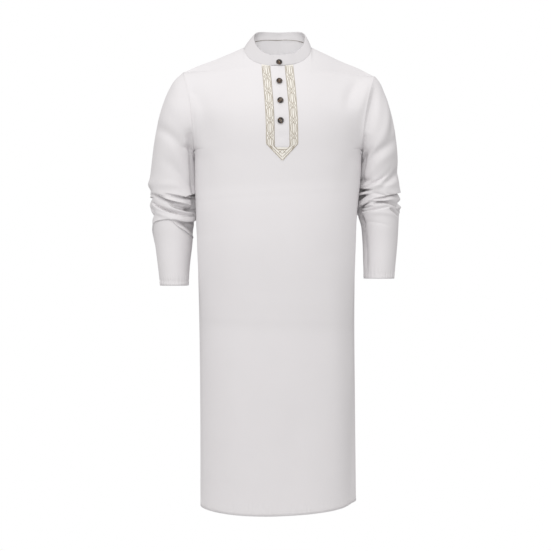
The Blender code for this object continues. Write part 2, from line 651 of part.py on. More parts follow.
def sheet_mesh(name, points, wall, tube=False, flip=False, skip=None, seam=None, side=None):
    """A grid whose vertices are moved to the given rows of points, with a wall grown inwards.
    tube joins its two sides, flip turns its faces round, skip(row, column) leaves faces out,
    seam is 1 or -1 for a panel behind or in front of the side and shoulder seams, which its
    wall then never crosses, and side names a sleeve's, whose wall stays out of the armhole's
    edge."""
    rows, columns = points.shape[:2]
    sheet = bmesh.new()
    bmesh.ops.create_grid(sheet, x_segments=columns - 1, y_segments=rows - 1, size=1.0)
    place = {}
    for vertex in sheet.verts:
        column = round((vertex.co.x + 1) / 2 * (columns - 1))
        row = round((vertex.co.y + 1) / 2 * (rows - 1))
        place[vertex] = (row, column)
    if skip:
        dropped = [face for face in sheet.faces
                   if skip(min(place[v][0] for v in face.verts),
                           min(place[v][1] for v in face.verts))]
        bmesh.ops.delete(sheet, geom=dropped, context="FACES")
    for vertex in sheet.verts:
        vertex.co = Vector(points[place[vertex]])
    if tube:
        bmesh.ops.remove_doubles(sheet, verts=sheet.verts, dist=1e-6)
    if flip:
        bmesh.ops.reverse_faces(sheet, faces=sheet.faces)
    sheet.normal_update()
    bmesh.ops.solidify(sheet, geom=sheet.faces[:], thickness=wall)
    if seam:
        for vertex in sheet.verts:
            past = (float(side_line(vertex.co.z)) - vertex.co.y) * seam + SEAM_GAP / 2
            vertex.co.y += seam * max(0.0, past)
    if side:
        for vertex in [v for v in sheet.verts if v.co.z > ARMPIT_HEIGHT]:
            edge = float(half_width(np.array(vertex.co.z), side)) + SEAM_GAP
            vertex.co.x += math.copysign(max(0.0, edge - abs(vertex.co.x)), vertex.co.x)
    mesh = bpy.data.meshes.new(name)
    sheet.to_mesh(mesh)
    sheet.free()
    mesh.shade_smooth()
    return mesh


def make_body(cloth, robe):
    def in_slot(row, column):
        middle = NECK_STEPS + SHOULDER_STEPS
        return row >= BODY_STEPS and column in (middle, middle + 1)

    front = sheet_mesh("front", panel_points(False), CLOTH_WALL, skip=in_slot, seam=-1)
    add_object("front", front, cloth, robe)
    back = sheet_mesh("back", panel_points(True), CLOTH_WALL, flip=True, seam=1)
    add_object("back", back, cloth, robe)


def make_sleeves(cloth, robe):
    for side in ("left", "right"):
        name = "sleeve_" + side
        flip = side == "left"
        points = sleeve_points(side)
        mesh = sheet_mesh(name, points, CLOTH_WALL, tube=True, flip=flip, side=side)
        add_object(name, mesh, cloth, robe)


def make_collar(cloth, robe):
    add_object("collar", sheet_mesh("collar", collar_points(), BAND_WALL, flip=True), cloth, robe)


def make_placket(cloth, robe):
    over = sheet_mesh("placket", strip_points(LAY_GAP + STRIP_WALL), STRIP_WALL)
    add_object("placket", over, cloth, robe)
    under = sheet_mesh("placket_under", strip_points(-CLOTH_WALL - LAY_GAP), STRIP_WALL)
    add_object("placket_under", under, cloth, robe)


def make_trim(material, robe):
    def between_bands(row, column):
        return row >= TRIM_POINT_ROWS and column in (2, 3)

    mesh = sheet_mesh("embroidered_trim", trim_points(), TRIM_WALL, skip=between_bands)
    add_object("embroidered_trim", mesh, material, robe)


def button_mesh():
    """A turned disc with a raised rim, a dished face and four sewing holes."""
    turned = bmesh.new()
    profile = [turned.verts.new((radius, 0.0, height)) for radius, height in BUTTON_PROFILE]
    edges = [turned.edges.new(pair) for pair in zip(profile[:-1], profile[1:])]
    bmesh.ops.spin(turned, geom=profile + edges, cent=(0, 0, 0), axis=(0, 0, 1),
                   angle=2 * math.pi, steps=BUTTON_SIDES, use_merge=True, use_duplicate=False)
    bmesh.ops.remove_doubles(turned, verts=turned.verts, dist=1e-6)
    bmesh.ops.recalc_face_normals(turned, faces=turned.faces)
    mesh = bpy.data.meshes.new("button")
    turned.to_mesh(mesh)
    turned.free()

    drills = bmesh.new()
    for across in (-1, 1):
        for up in (-1, 1):
            place = Matrix.Translation((across * BUTTON_HOLE_SPREAD, up * BUTTON_HOLE_SPREAD,
                                        BUTTON_THICK / 2))
            bmesh.ops.create_cone(drills, cap_ends=True, segments=8, radius1=BUTTON_HOLE_RADIUS,
                                  radius2=BUTTON_HOLE_RADIUS, depth=3 * BUTTON_THICK,
                                  matrix=place)
    drill_mesh = bpy.data.meshes.new("button_drills")
    drills.to_mesh(drill_mesh)
    drills.free()

    blank = bpy.data.objects.new("button_blank", mesh)
    cutter = bpy.data.objects.new("button_cutter", drill_mesh)
    for part in (blank, cutter):
        bpy.context.scene.collection.objects.link(part)
    cut = blank.modifiers.new("holes", "BOOLEAN")
    cut.object = cutter
    cut.operation = "DIFFERENCE"
    cut.solver = "EXACT"
    view = bpy.context.evaluated_depsgraph_get()
    finished = bpy.data.meshes.new_from_object(blank.evaluated_get(view))
    for part in (blank, cutter):
        bpy.data.objects.remove(part)
    finished.set_sharp_from_angle(angle=math.radians(35))
    return finished


def place_button(part, point, normal):
    """The button's flat back faces the cloth, with room for the thread under it."""
    side = Vector((1, 0, 0))
    up = normal.cross(side).normalized()
    side = up.cross(normal).normalized()
    turn = Matrix((side, up, normal)).transposed().to_4x4()
    part.matrix_world = Matrix.Translation(point + normal * BUTTON_STAND) @ turn


def make_buttons(horn, robe):
    mesh = button_mesh()
    for number, (x, height) in enumerate(zip(BUTTON_X, BUTTON_HEIGHTS), start=1):
        if number == 1:
            turns = np.array([collar_turn(x) - 2 * math.pi])
            normal = Vector(collar_normals(turns, BUTTON_COLLAR_SHARE)[0])
            point = Vector(collar_ring(turns, BUTTON_COLLAR_SHARE)[0])
            point = point + normal * float(collar_lap(turns)[0])
        else:
            place = np.array([x]), np.array([height])
            normal = Vector(front_normals(*place)[0])
            point = Vector(body_points(*place, False)[0]) + normal * (LAY_GAP + STRIP_WALL)
        button = add_object("button_" + str(number), mesh, horn, robe)
        place_button(button, point, normal)


def clear_scene():
    for part in list(bpy.data.objects):
        bpy.data.objects.remove(part)


def main():
    clear_scene()
    robe = bpy.data.objects.new("robe", None)
    bpy.context.scene.collection.objects.link(robe)
    cloth = make_material("white_cloth", WHITE, 0.85)
    make_body(cloth, robe)
    make_sleeves(cloth, robe)
    make_collar(make_material("collar_cloth", WHITE, 0.85), robe)
    make_placket(make_material("placket_cloth", WHITE, 0.85), robe)
    make_trim(make_material("embroidery", CREAM, 0.60), robe)
    make_buttons(make_material("tortoiseshell", TORTOISE, 0.30), robe)


main()
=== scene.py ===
"""The dressed thobe: white shirting shells with their creases, a stand collar, a buttoned
placket, an embroidered trim of raised thread, sewn hems and tortoiseshell buttons.

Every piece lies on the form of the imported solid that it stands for. X runs across the
shoulders, the front faces -Y and Z is up, in metres. Creases are listed in millimetres.
"""
import math
from functools import cache

import bmesh
import bpy
import numpy as np
from mathutils import Matrix, Vector


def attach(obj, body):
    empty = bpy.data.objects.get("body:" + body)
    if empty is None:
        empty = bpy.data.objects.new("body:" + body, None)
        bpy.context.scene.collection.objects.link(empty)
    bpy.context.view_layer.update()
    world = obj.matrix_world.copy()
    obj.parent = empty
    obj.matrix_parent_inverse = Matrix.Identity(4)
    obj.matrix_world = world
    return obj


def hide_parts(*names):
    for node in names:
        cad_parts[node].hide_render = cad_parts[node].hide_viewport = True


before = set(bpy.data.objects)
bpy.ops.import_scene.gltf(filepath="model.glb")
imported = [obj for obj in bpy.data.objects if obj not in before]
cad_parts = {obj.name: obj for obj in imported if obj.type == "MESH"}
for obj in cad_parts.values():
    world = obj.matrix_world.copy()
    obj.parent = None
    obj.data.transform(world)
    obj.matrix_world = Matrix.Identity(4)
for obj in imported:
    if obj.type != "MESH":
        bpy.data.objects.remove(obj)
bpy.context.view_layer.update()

# ---------------------------------------------------------------- the robe's sizes
CLOTH_WALL = 0.0013
BAND_WALL = 0.0022
STRIP_WALL = 0.0012
TRIM_WALL = 0.0010
LAY_GAP = 0.0003

HEM_HEIGHT = -1.1535
HEM_TILT = 0.028
HEM_SWEEP = 0.20
ARMPIT_HEIGHT = -0.262
ARMHOLE_TOP = -0.069
SIDE_LINE = -0.020
SHOULDER_X = {"left": -0.2416, "right": 0.2440}
ARMHOLE_DEPTH = 0.070
ARMHOLE_SCOOP = 0.009

NECK_X = -0.002
NECK_HALF = 0.0845
NECK_FRONT_DROP = 0.060
NECK_BACK_RISE = 0.027
NECK_FRONT_POWER = 2.3
NECK_BACK_POWER = 2.2
NECK_FRONT_CREST = 0.012
NECK_BACK_CREST = 0.063
NECK_FRONT_SAG = -0.022
NECK_BACK_SAG = 0.020
NECK_SPREAD = 0.060
NECK_BLEND = 0.070

SHOULDER_ROUND_FRONT = 0.24
SHOULDER_ROUND_BACK = 0.22
SHOULDER_ROUND_POWER = 0.6
SECTION_POWER = 2.3
CHEST_BLEND = 0.14
EDGE_BELOW = 0.055
EDGE_BLEND = 0.153
EDGE_HOLD = 24

PLACKET_HALF = 0.0175
SLOT_HALF = 0.0165
PLACKET_END = -0.262
PLACKET_LAP = 0.003
TRIM_SPACE = 0.0004
TRIM_WIDTH = 0.0210
TRIM_INNER = PLACKET_HALF + TRIM_SPACE
TRIM_OUTER = TRIM_INNER + TRIM_WIDTH
TRIM_BAR = PLACKET_END - PLACKET_LAP - TRIM_SPACE     # the top of the trim's pointed end
TRIM_TIP = -0.2975
TRIM_TIP_HALF = 0.0012
TRIM_CORNER = -0.2568
STRIP_TOP_DROP = 0.0004

COLLAR_TOP_X = 0.0025
COLLAR_TOP_HALF = 0.0650
COLLAR_TOP_SQUARE = 0.85
COLLAR_TOP_FRONT_Y = -0.066
COLLAR_TOP_BACK_Y = 0.050
COLLAR_TOP_FRONT = -0.0318
COLLAR_TOP_SIDE = 0.0320
COLLAR_TOP_BACK = 0.0476
COLLAR_FRONT_FLAT = 0.95
COLLAR_BACK_ROUND = 8
COLLAR_BACK_POWER = 0.7
COLLAR_OVER_END = -0.0190
COLLAR_UNDER_END = 0.0170
COLLAR_LAP_START = 0.0480
COLLAR_LAP_FULL = 0.0230
COLLAR_LAP_GAP = 0.0005
COLLAR_LIFT = 0.0004
COLLAR_BOW = 0.0012

BUTTON_RADIUS = 0.0075
BUTTON_THICK = 0.0030
BUTTON_STAND = 0.0013
BUTTON_COLLAR_SHARE = 0.24
BUTTON_X = (0.0002, 0.0014, 0.0040, 0.0047)
BUTTON_HEIGHTS = (-0.0455, -0.102, -0.1515, -0.201)
BUTTON_TURNS = (44, 36, 52, 40)      # degrees that each was sewn on at
SIGN = {"left": -1, "right": 1}

BODY_COLUMNS = ("height", "left", "right", "front", "back")
BODY_SECTIONS = (
    (-1.160, 0.1960, 0.1945, 0.131, 0.165),
    (-0.900, 0.1965, 0.1920, 0.125, 0.158),
    (-0.640, 0.2000, 0.1905, 0.119, 0.150),
    (-0.500, 0.2040, 0.1930, 0.117, 0.146),
    (-0.420, 0.2078, 0.1972, 0.116, 0.144),
    (-0.330, 0.2100, 0.2060, 0.116, 0.142),
    (-0.262, 0.2110, 0.2090, 0.117, 0.141),
    (-0.150, 0.2110, 0.2090, 0.126, 0.134),
    (-0.060, 0.2110, 0.2090, 0.127, 0.125),
    (0.060, 0.2110, 0.2090, 0.127, 0.120),
)
RIDGE_COLUMNS = ("distance", "left", "right")
RIDGE_SECTIONS = (
    (0.0000, 0.0340, 0.0340),
    (0.0400, 0.0195, 0.0200),
    (0.0845, 0.0000, 0.0000),
    (0.1200, -0.0155, -0.0165),
    (0.1600, -0.0320, -0.0355),
    (0.2000, -0.0465, -0.0515),
    (0.2400, -0.0645, -0.0715),
    (0.2800, -0.0830, -0.0900),
)
LEAN_COLUMNS = ("height", "x")
LEAN_SECTIONS = (
    (-0.340, 0.0092),
    (-0.300, 0.0091),
    (-0.257, 0.0084),
    (-0.190, 0.0072),
    (-0.120, 0.0025),
    (-0.060, -0.0028),
    (0.000, -0.0060),
)
SLEEVE_COLUMNS = ("outer_height", "outer_x", "outer_y", "inner_x", "inner_height", "inner_y",
                  "depth")
SLEEVE_SECTIONS = {
    "left": (
        (-0.6015, 0.2976, -0.016, 0.2265, -0.6015, -0.016, 0.0465),
        (-0.5500, 0.3044, -0.008, 0.2236, -0.5500, -0.008, 0.0520),
        (-0.4900, 0.3132, 0.004, 0.2176, -0.4900, 0.004, 0.0600),
        (-0.4550, 0.3185, 0.010, 0.2156, -0.4550, 0.010, 0.0660),
        (-0.4200, 0.3225, 0.014, 0.2088, -0.4200, 0.014, 0.0690),
        (-0.3800, 0.3238, 0.016, 0.2064, -0.3820, 0.016, 0.0710),
        (-0.3480, 0.3288, 0.015, 0.2070, -0.3550, 0.014, 0.0730),
        (-0.3180, 0.3246, 0.013, 0.2074, -0.3350, 0.012, 0.0740),
        (-0.2850, 0.3207, 0.011, 0.2088, -0.3130, 0.010, 0.0760),
        (-0.2360, 0.3140, 0.009, 0.2100, -0.2900, 0.004, 0.0780),
        (-0.1900, 0.3055, 0.007, 0.2112, -0.2780, -0.004, 0.0780),
        (-0.1450, 0.2925, 0.005, 0.2124, -0.2705, -0.010, 0.0765),
        (-0.1070, 0.2765, 0.003, 0.2132, -0.2660, -0.015, 0.0740),
        (-0.0800, 0.2590, 0.001, 0.2126, -0.2632, -0.018, 0.0715),
        (-0.0651, 0.2416, 0.000, 0.2110, -0.2620, -0.020, 0.0700),
    ),
    "right": (
        (-0.5840, 0.2906, -0.016, 0.2146, -0.5840, -0.016, 0.0465),
        (-0.5400, 0.2956, -0.008, 0.2136, -0.5400, -0.008, 0.0520),
        (-0.4870, 0.3014, 0.004, 0.2126, -0.4870, 0.004, 0.0600),
        (-0.4500, 0.3040, 0.010, 0.2094, -0.4500, 0.010, 0.0660),
        (-0.4100, 0.3060, 0.014, 0.1980, -0.4100, 0.014, 0.0690),
        (-0.3750, 0.3055, 0.016, 0.1998, -0.3770, 0.016, 0.0710),
        (-0.3480, 0.3072, 0.015, 0.2018, -0.3550, 0.014, 0.0730),
        (-0.3180, 0.3018, 0.013, 0.2036, -0.3350, 0.012, 0.0740),
        (-0.2850, 0.3020, 0.011, 0.2058, -0.3130, 0.010, 0.0760),
        (-0.2360, 0.2980, 0.009, 0.2076, -0.2900, 0.004, 0.0780),
        (-0.1960, 0.2915, 0.007, 0.2094, -0.2780, -0.004, 0.0780),
        (-0.1500, 0.2805, 0.005, 0.2106, -0.2705, -0.010, 0.0765),
        (-0.1150, 0.2672, 0.003, 0.2112, -0.2660, -0.015, 0.0740),
        (-0.0880, 0.2550, 0.001, 0.2106, -0.2632, -0.018, 0.0715),
        (-0.0738, 0.2440, 0.000, 0.2090, -0.2620, -0.020, 0.0700),
    ),
}

# ---------------------------------------------------------------- creases
# A crease runs on a curve through three places: across, in degrees round a sleeve (0 outside,
# 90 front, 180 inside, -90 back) or in millimetres from the body's middle, and height. rise is
# how far the cloth stands out (or sinks in), width is half of the crease, all in millimetres.
# shape: "soft" is a round swell or trough, and "sharp" a pinched line with wide flanks. "lip" is
# a fold's edge whose cloth, above the line, stands out and hangs down over the cloth below.
# "tuck" is a deep one, where the cloth below turns in under the edge, and "ledge" is a tuck
# upside down: the cloth above the line turns in behind the cloth below it.
CREASE_COLUMNS = ("start", "start_height", "middle", "middle_height", "end", "end_height",
                  "rise", "width", "shape")
SLEEVE_CREASES = {
    "left": (
        # the upper sleeve
        (20, -205, 85, -234, 140, -296, -6, 12, "soft"),
        (60, -150, 100, -190, 150, -262, 3.4, 15, "soft"),
        (74, -290, 107, -321, 140, -358, -4, 13, "soft"),
        (122, -222, 142, -252, 166, -280, -10, 10, "soft"),
        (122, -259, 140, -264, 156, -282, -9, 4.5, "sharp"),
        (148, -270, 152, -325, 150, -376, -12, 9, "soft"),
        (60, -352, 96, -352, 132, -362, 2.4, 10, "soft"),
        # its edge over the elbow, and the folds under it
        (-70, -376, 16, -371, 90, -375, 1.6, 5, "tuck"),
        (-60, -381, -8, -379, 26, -380, 7, 5, "tuck"),
        (-40, -345, -2, -345, 36, -346, 2.6, 9, "soft"),
        (-40, -363, -4, -363, 30, -363, -3, 7, "soft"),
        (46, -373, 88, -386, 130, -398, 17, 8, "tuck"),
        (40, -373, 56, -375, 76, -381, -7, 2.4, "sharp"),
        (84, -371, 124, -377, 168, -382, 12, 7, "tuck"),
        (126, -375, 148, -369, 200, -367, 16, 7, "tuck"),
        (134, -388, 148, -395, 126, -402, 2.6, 3.2, "soft"),
        (154, -384, 156, -398, 160, -412, -22, 9, "soft"),
        (86, -401, 122, -415, 196, -417, 18, 8, "ledge"),
        (92, -397, 122, -408, 168, -412, -10, 4.5, "soft"),
        (128, -402, 142, -409, 160, -412, -9, 4, "soft"),
        (28, -397, 80, -418, 132, -430, 14, 5, "ledge"),
        (54, -404, 92, -419, 128, -424, -4, 2, "sharp"),
        (120, -424, 142, -426, 160, -424, -8, 3, "soft"),
        (-20, -388, 0, -400, 12, -413, 4.6, 8, "soft"),
        (16, -404, 22, -414, 30, -428, -4.5, 4, "soft"),
        (-30, -430, 2, -427, 30, -419, -9, 5, "sharp"),
        (2, -405, 18, -412, 32, -422, -5, 4, "sharp"),
        (44, -418, 83, -430, 118, -434, 3.2, 5, "soft"),
        # the edge of the fold over the forearm
        (2, -496, 8, -466, 36, -446, 3, 5, "lip"),
        (22, -450, 56, -438, 106, -437, 3, 6, "lip"),
        (88, -437, 126, -461, 182, -482, 5, 5, "lip"),
        (104, -438, 138, -440, 184, -434, 15, 9, "tuck"),
        (126, -445, 150, -455, 182, -466, -12, 7, "soft"),
        # behind the elbow
        (186, -352, 240, -366, 300, -360, 4, 9, "lip"),
        (190, -376, 236, -392, 300, -384, 14, 9, "tuck"),
        (184, -396, 240, -401, 290, -410, 3.4, 6, "soft"),
        (200, -410, 250, -420, 310, -408, 12, 8, "ledge"),
        (186, -430, 235, -426, 300, -438, 3, 7, "lip"),
        (196, -446, 240, -452, 290, -444, -3.6, 4, "sharp"),
        (210, -300, 250, -325, 300, -300, -2.4, 14, "soft"),
        (190, -478, 230, -486, 280, -474, -2, 7, "soft"),
    ),
    "right": (
        # the upper sleeve
        (26, -120, 56, -200, 100, -258, 4.8, 12, "soft"),
        (14, -150, 34, -200, 60, -236, -4, 10, "soft"),
        (20, -230, 96, -268, 146, -302, -5.5, 9, "soft"),
        (33, -262, 80, -286, 112, -308, 3.4, 10, "soft"),
        (97, -252, 126, -280, 168, -292, 2.4, 8, "soft"),
        (50, -108, 78, -156, 112, -214, -9, 9, "soft"),
        (132, -226, 148, -240, 170, -252, -8, 7, "soft"),
        (124, -266, 150, -284, 176, -290, -8.5, 9, "soft"),
        (148, -270, 152, -306, 154, -340, -9, 9, "soft"),
        (192, -352, 114, -346, 56, -312, -8, 3, "sharp"),
        (178, -334, 150, -337, 120, -341, -7, 5, "soft"),
        (190, -342, 132, -338, 80, -318, -3.6, 9, "soft"),
        (130, -356, 100, -352, 66, -334, 2.6, 8, "soft"),
        (88, -354, 62, -338, 14, -314, -9, 8, "soft"),
        (22, -326, 14, -342, 8, -356, -3.6, 6, "soft"),
        (120, -350, 84, -352, 50, -346, 2, 6, "soft"),
        # the folds of the elbow
        (-60, -355, 30, -368, 104, -384, 12, 6, "tuck"),
        (206, -352, 170, -353, 122, -360, 15, 7, "tuck"),
        (206, -364, 162, -364, 122, -363, 13, 7, "ledge"),
        (204, -375, 176, -374, 132, -373, 20, 10, "tuck"),
        (126, -374, 160, -387, 192, -395, 8, 6, "ledge"),
        (148, -380, 162, -385, 176, -391, -9, 4.5, "soft"),
        (108, -371, 84, -374, 64, -377, -5, 2.2, "sharp"),
        (72, -369, 50, -374, 20, -380, -4.6, 2.2, "sharp"),
        (84, -378, 60, -379, 34, -377, 2.6, 3.4, "soft"),
        (-24, -383, 2, -383, 26, -385, 4, 6, "soft"),
        (130, -387, 84, -387, 40, -386, 2, 3, "soft"),
        (186, -404, 148, -399, 106, -391, -8, 1.8, "sharp"),
        (184, -404, 158, -401, 128, -395, 16, 4.2, "tuck"),
        (104, -391, 84, -389, 64, -390, 12, 3, "tuck"),
        (96, -391, 66, -392, 30, -399, -5, 2, "sharp"),
        (106, -397, 76, -393, 30, -405, -12, 2.2, "sharp"),
        (130, -398, 104, -396, 84, -397, -2.4, 4, "soft"),
        (192, -404, 150, -406, 110, -404, -13, 2.6, "sharp"),
        (194, -411, 133, -416, 66, -407, 9, 5, "ledge"),
        (60, -409, 44, -416, 18, -427, -11, 2.4, "sharp"),
        (48, -403, 30, -411, 4, -420, -6, 3, "sharp"),
        (-40, -397, -4, -394, 26, -394, -6, 2.6, "sharp"),
        (-40, -402, -4, -403, 22, -406, 5.5, 5, "soft"),
        (-36, -414, -2, -416, 20, -420, 2.6, 7, "soft"),
        (180, -410, 162, -424, 156, -446, -22, 10, "soft"),
        (160, -455, 154, -510, 150, -570, -6, 12, "soft"),
        (120, -424, 84, -420, 40, -428, 2.2, 6, "soft"),
        (170, -450, 126, -443, 66, -452, -1.6, 3, "sharp"),
        (166, -452, 148, -461, 144, -472, -1.8, 3, "sharp"),
        (166, -466, 148, -478, 150, -492, -1.8, 3, "sharp"),
        # behind the elbow
        (188, -350, 238, -360, 300, -350, 4, 9, "lip"),
        (184, -376, 240, -384, 306, -372, 14, 9, "tuck"),
        (190, -392, 230, -398, 290, -404, 3.4, 6, "soft"),
        (196, -404, 244, -412, 304, -398, 12, 8, "ledge"),
        (186, -424, 238, -420, 290, -432, 3, 7, "lip"),
        (200, -440, 244, -444, 296, -436, -3.6, 4, "sharp"),
        (206, -296, 246, -318, 300, -296, -2.4, 14, "soft"),
    ),
}
BODY_CREASES = {
    "front": (
        (-226, -96, -196, -150, -176, -236, -4, 21, "soft"),
        (-150, -110, -160, -200, -172, -330, -2.2, 34, "soft"),
        (-206, -150, -200, -205, -203, -262, 2.4, 9, "soft"),
        (-236, -104, -222, -118, -206, -128, -1.6, 6, "soft"),
        (204, -88, 182, -118, 166, -166, -4.6, 13, "soft"),
        (226, -96, 210, -140, 196, -176, 2.6, 12, "soft"),
        (228, -118, 210, -180, 205, -250, -1.2, 11, "soft"),
        (150, -120, 160, -190, 172, -250, 1.2, 18, "soft"),
        (206, -258, 176, -300, 160, -380, -1.8, 20, "soft"),
        (-206, -268, -180, -310, -168, -400, -1.8, 22, "soft"),
        (-150, -420, -150, -560, -154, -720, -1.6, 30, "soft"),
        (150, -420, 158, -520, 150, -640, 1.6, 26, "soft"),
        (-96, -760, -100, -940, -98, -1150, 2.6, 34, "soft"),
        (-140, -660, -138, -900, -140, -1172, 3, 30, "soft"),
        (40, -880, 38, -1010, 34, -1176, -2.6, 30, "soft"),
        (100, -800, 108, -960, 104, -1170, 2.6, 34, "soft"),
        (132, -560, 140, -860, 138, -1172, 5, 30, "soft"),
        (212, -860, 208, -1020, 200, -1240, -12, 34, "soft"),
        (180, -370, 183, -500, 180, -680, 8, 20, "soft"),
        (-186, -1090, -184, -1130, -186, -1168, 1.2, 6, "soft"),
        (-176, -1080, -175, -1120, -176, -1168, -1.2, 5, "soft"),
    ),
    "back": (
        (-120, -70, -110, -140, -124, -250, -2.6, 24, "soft"),
        (116, -74, 104, -150, 118, -262, -2.6, 24, "soft"),
        (-214, -120, -190, -180, -170, -280, -3, 20, "soft"),
        (212, -126, 186, -190, 168, -292, -3, 20, "soft"),
        (-206, -266, -150, -310, -70, -380, -2.6, 20, "soft"),
        (204, -266, 146, -316, 60, -372, -2.6, 20, "soft"),
        (0, -300, -6, -420, -2, -560, 2.4, 40, "soft"),
        (-124, -420, -130, -620, -126, -860, -3, 34, "soft"),
        (120, -400, 128, -600, 122, -840, -3, 34, "soft"),
        (-60, -620, -64, -880, -58, -1170, 3.4, 36, "soft"),
        (64, -600, 58, -860, 66, -1170, 3.4, 36, "soft"),
        (2, -700, 4, -920, 0, -1172, -3.4, 32, "soft"),
        (-150, -800, -148, -980, -152, -1168, 2.8, 26, "soft"),
        (152, -780, 156, -960, 150, -1168, 2.8, 26, "soft"),
    ),
}
SLEEVE_REACH = 0.058         # a sleeve's radius, which turns angles into lengths
CREASE_HANG = {"lip": 0.9, "tuck": 0.9, "ledge": -0.4}   # an edge hangs down this much of it
TUCK_EDGE = 0.40             # the edge of a tuck stands out this share of its depth
LEDGE_EDGE = 0.5             # and that of a ledge this share of a tuck's
CREASE_STEPS = 30
CREASE_DEEPEST = -0.045      # no trough of a sleeve is deeper
INNER_DEEPEST = -0.0018      # nor than this on its inside, which nearly touches the body
# Down to the elbow's folds a sleeve's inside nearly touches the body. It has no swells there,
# and only shallow troughs: how wide, in radians, above which height, and blended over what.
INSIDE_FLAT = (0.55, -0.435, 0.02)
INSIDE_SHALLOW = (0.36, -0.452, 0.012)
TOUCH = {"left": 0.0030, "right": 0.0022}   # under the armpit a sleeve comes this much nearer
TOUCH_SPREAD = 0.35
TOUCH_DROP = 0.007
TOUCH_REACH = 0.009
SHARP_SHARES = (0.62, 0.38)  # of a sharp crease, its pointed and its rounded part
ROUND_WIDTH = 1.6            # a rounded part or an edge is this much wider than the crease
LIP_STEP = 0.0010
LIP_TROUGH = (0.7, 0.45)     # the depth and the width under a lip, as shares of the lip's
SIDE_FADE = 0.012            # creases fade out beside the side seams,
PIT_FADE = (0.040, 0.018)    # round the armpits, across and up,
TRIM_FADE = (0.075, 0.035)   # and from this far beside the placket's middle line over this,
TRIM_FADE_LOW = (0.05, 0.04) # and the same below the trim's tip

# ---------------------------------------------------------------- sewing and thread
STITCH_LENGTH = 0.0022
STITCH_SPACE = 0.0033
STITCH_RADIUS = 0.00034
STITCH_AIM = 0.0008          # a stitch follows its path this far ahead and behind
HEM_DEPTH = 0.011
CUFF_DEPTH = 0.012
DITCH_DEPTH = 0.0006         # the dent along a row of stitches
DITCH_WIDTH = 0.0013
EDGE_STITCH = 0.0035         # from the placket's edge to its stitches
ARMHOLE_STITCH = 0.0055      # and from the armhole's edge to its seam's
ARMHOLE_DITCH = 0.0016
ARMHOLE_DITCH_LOW = (0.004, 0.02)   # it starts this far above the armpit, blended over this
COLLAR_STITCHES = (0.07, 0.90)
COLLAR_WIDTH = 0.04
COLLAR_DITCH = 0.5           # its dent is this share of other stitches'
HEM_SWELL = 0.00035
HEM_SWELL_BLEND = 0.003
HEM_PULL = 1.8               # its dent is this much deeper than other stitches'
HEM_PUCKERS = (410, 2.1, 61) # radians in a metre, and how far and how fast that wanders
HEM_RIPPLES = (523, 1.7, 83)
HEM_RIPPLE = 0.0006
HEM_RIPPLE_REACH = 0.010
PLACKET_RIPPLE = 0.0004
PLACKET_RIPPLES = 190
PLACKET_RIPPLE_REACH = 0.010
BUTTON_DENT = 0.0010         # a button pulls the placket in, over this far across and up
BUTTON_DENT_REACH = (0.012, 0.009)
COLLAR_EDGE = 0.0008         # how far cut edges are rounded
STRIP_EDGE = 0.0004
TRIM_EDGE = 0.0003
NECK_SHADOW_THREAD_RADIUS = 0.0007  # drawn thicker than a thread is, so that its dark colour shows as painted shadow along the neck seam
NECK_SHADOW_THREAD_REACH = 1.15

PATTERN_LENGTH = 0.0370      # one repeat of the embroidery along the trim
THREAD_RADIUS = 0.00060
STRAND_TOP_DROP = 0.0015     # from the trim's top edge, and from its bar, to the strands' ends
STRAND_LOW_GAP = 0.0005
POINT_THREAD_STEP = 0.0009
# One repeat, as places along it (0 to 1) and millimetres from the band's middle. Each strand
# is sewn twice, once on either side of the middle.
STRANDS = {
    "outer": ((0.00, 9.3), (1.00, 9.3)),
    "middle": ((0.00, 4.6), (0.10, 6.6), (0.30, 7.3), (0.50, 6.6), (0.60, 4.6), (0.67, 3.4),
               (0.80, 6.9), (0.93, 3.4), (1.00, 4.6)),
    "inner": ((0.00, 2.3), (0.30, 3.1), (0.60, 2.3), (0.67, 0.0), (0.80, -2.6), (0.93, 0.0),
              (1.00, 2.3)),
}
# The threads of the trim's pointed end, each sewn on both halves: a thickness and the places
# it runs through, as distances from the middle line and heights.
POINT_THREADS = (
    (1.1, ((TRIM_OUTER - 0.0012, TRIM_CORNER), (0.0006, TRIM_TIP + 0.0016))),
    (0.9, ((TRIM_OUTER - 0.0075, TRIM_CORNER - 0.0020), (0.0004, TRIM_TIP + 0.0084))),
    (1.2, ((TRIM_INNER + 0.0010, TRIM_BAR + 0.0040), (TRIM_INNER - 0.0040, TRIM_BAR - 0.0034),
           (TRIM_INNER - 0.0070, TRIM_BAR - 0.0050), (0.0, TRIM_BAR - 0.0052))),
    (0.8, ((TRIM_INNER - 0.0070, TRIM_BAR - 0.0050), (0.0, TRIM_BAR - 0.0160))),
    (0.8, ((0.0, TRIM_BAR - 0.0052), (0.0090, TRIM_BAR - 0.0150))),
    (0.8, ((TRIM_INNER + 0.0120, TRIM_BAR + 0.0040), (TRIM_INNER + 0.0040, TRIM_BAR - 0.0075))),
    (0.8, ((TRIM_INNER + 0.0050, TRIM_BAR + 0.0035), (TRIM_INNER + 0.0105, TRIM_BAR - 0.0015))),
)

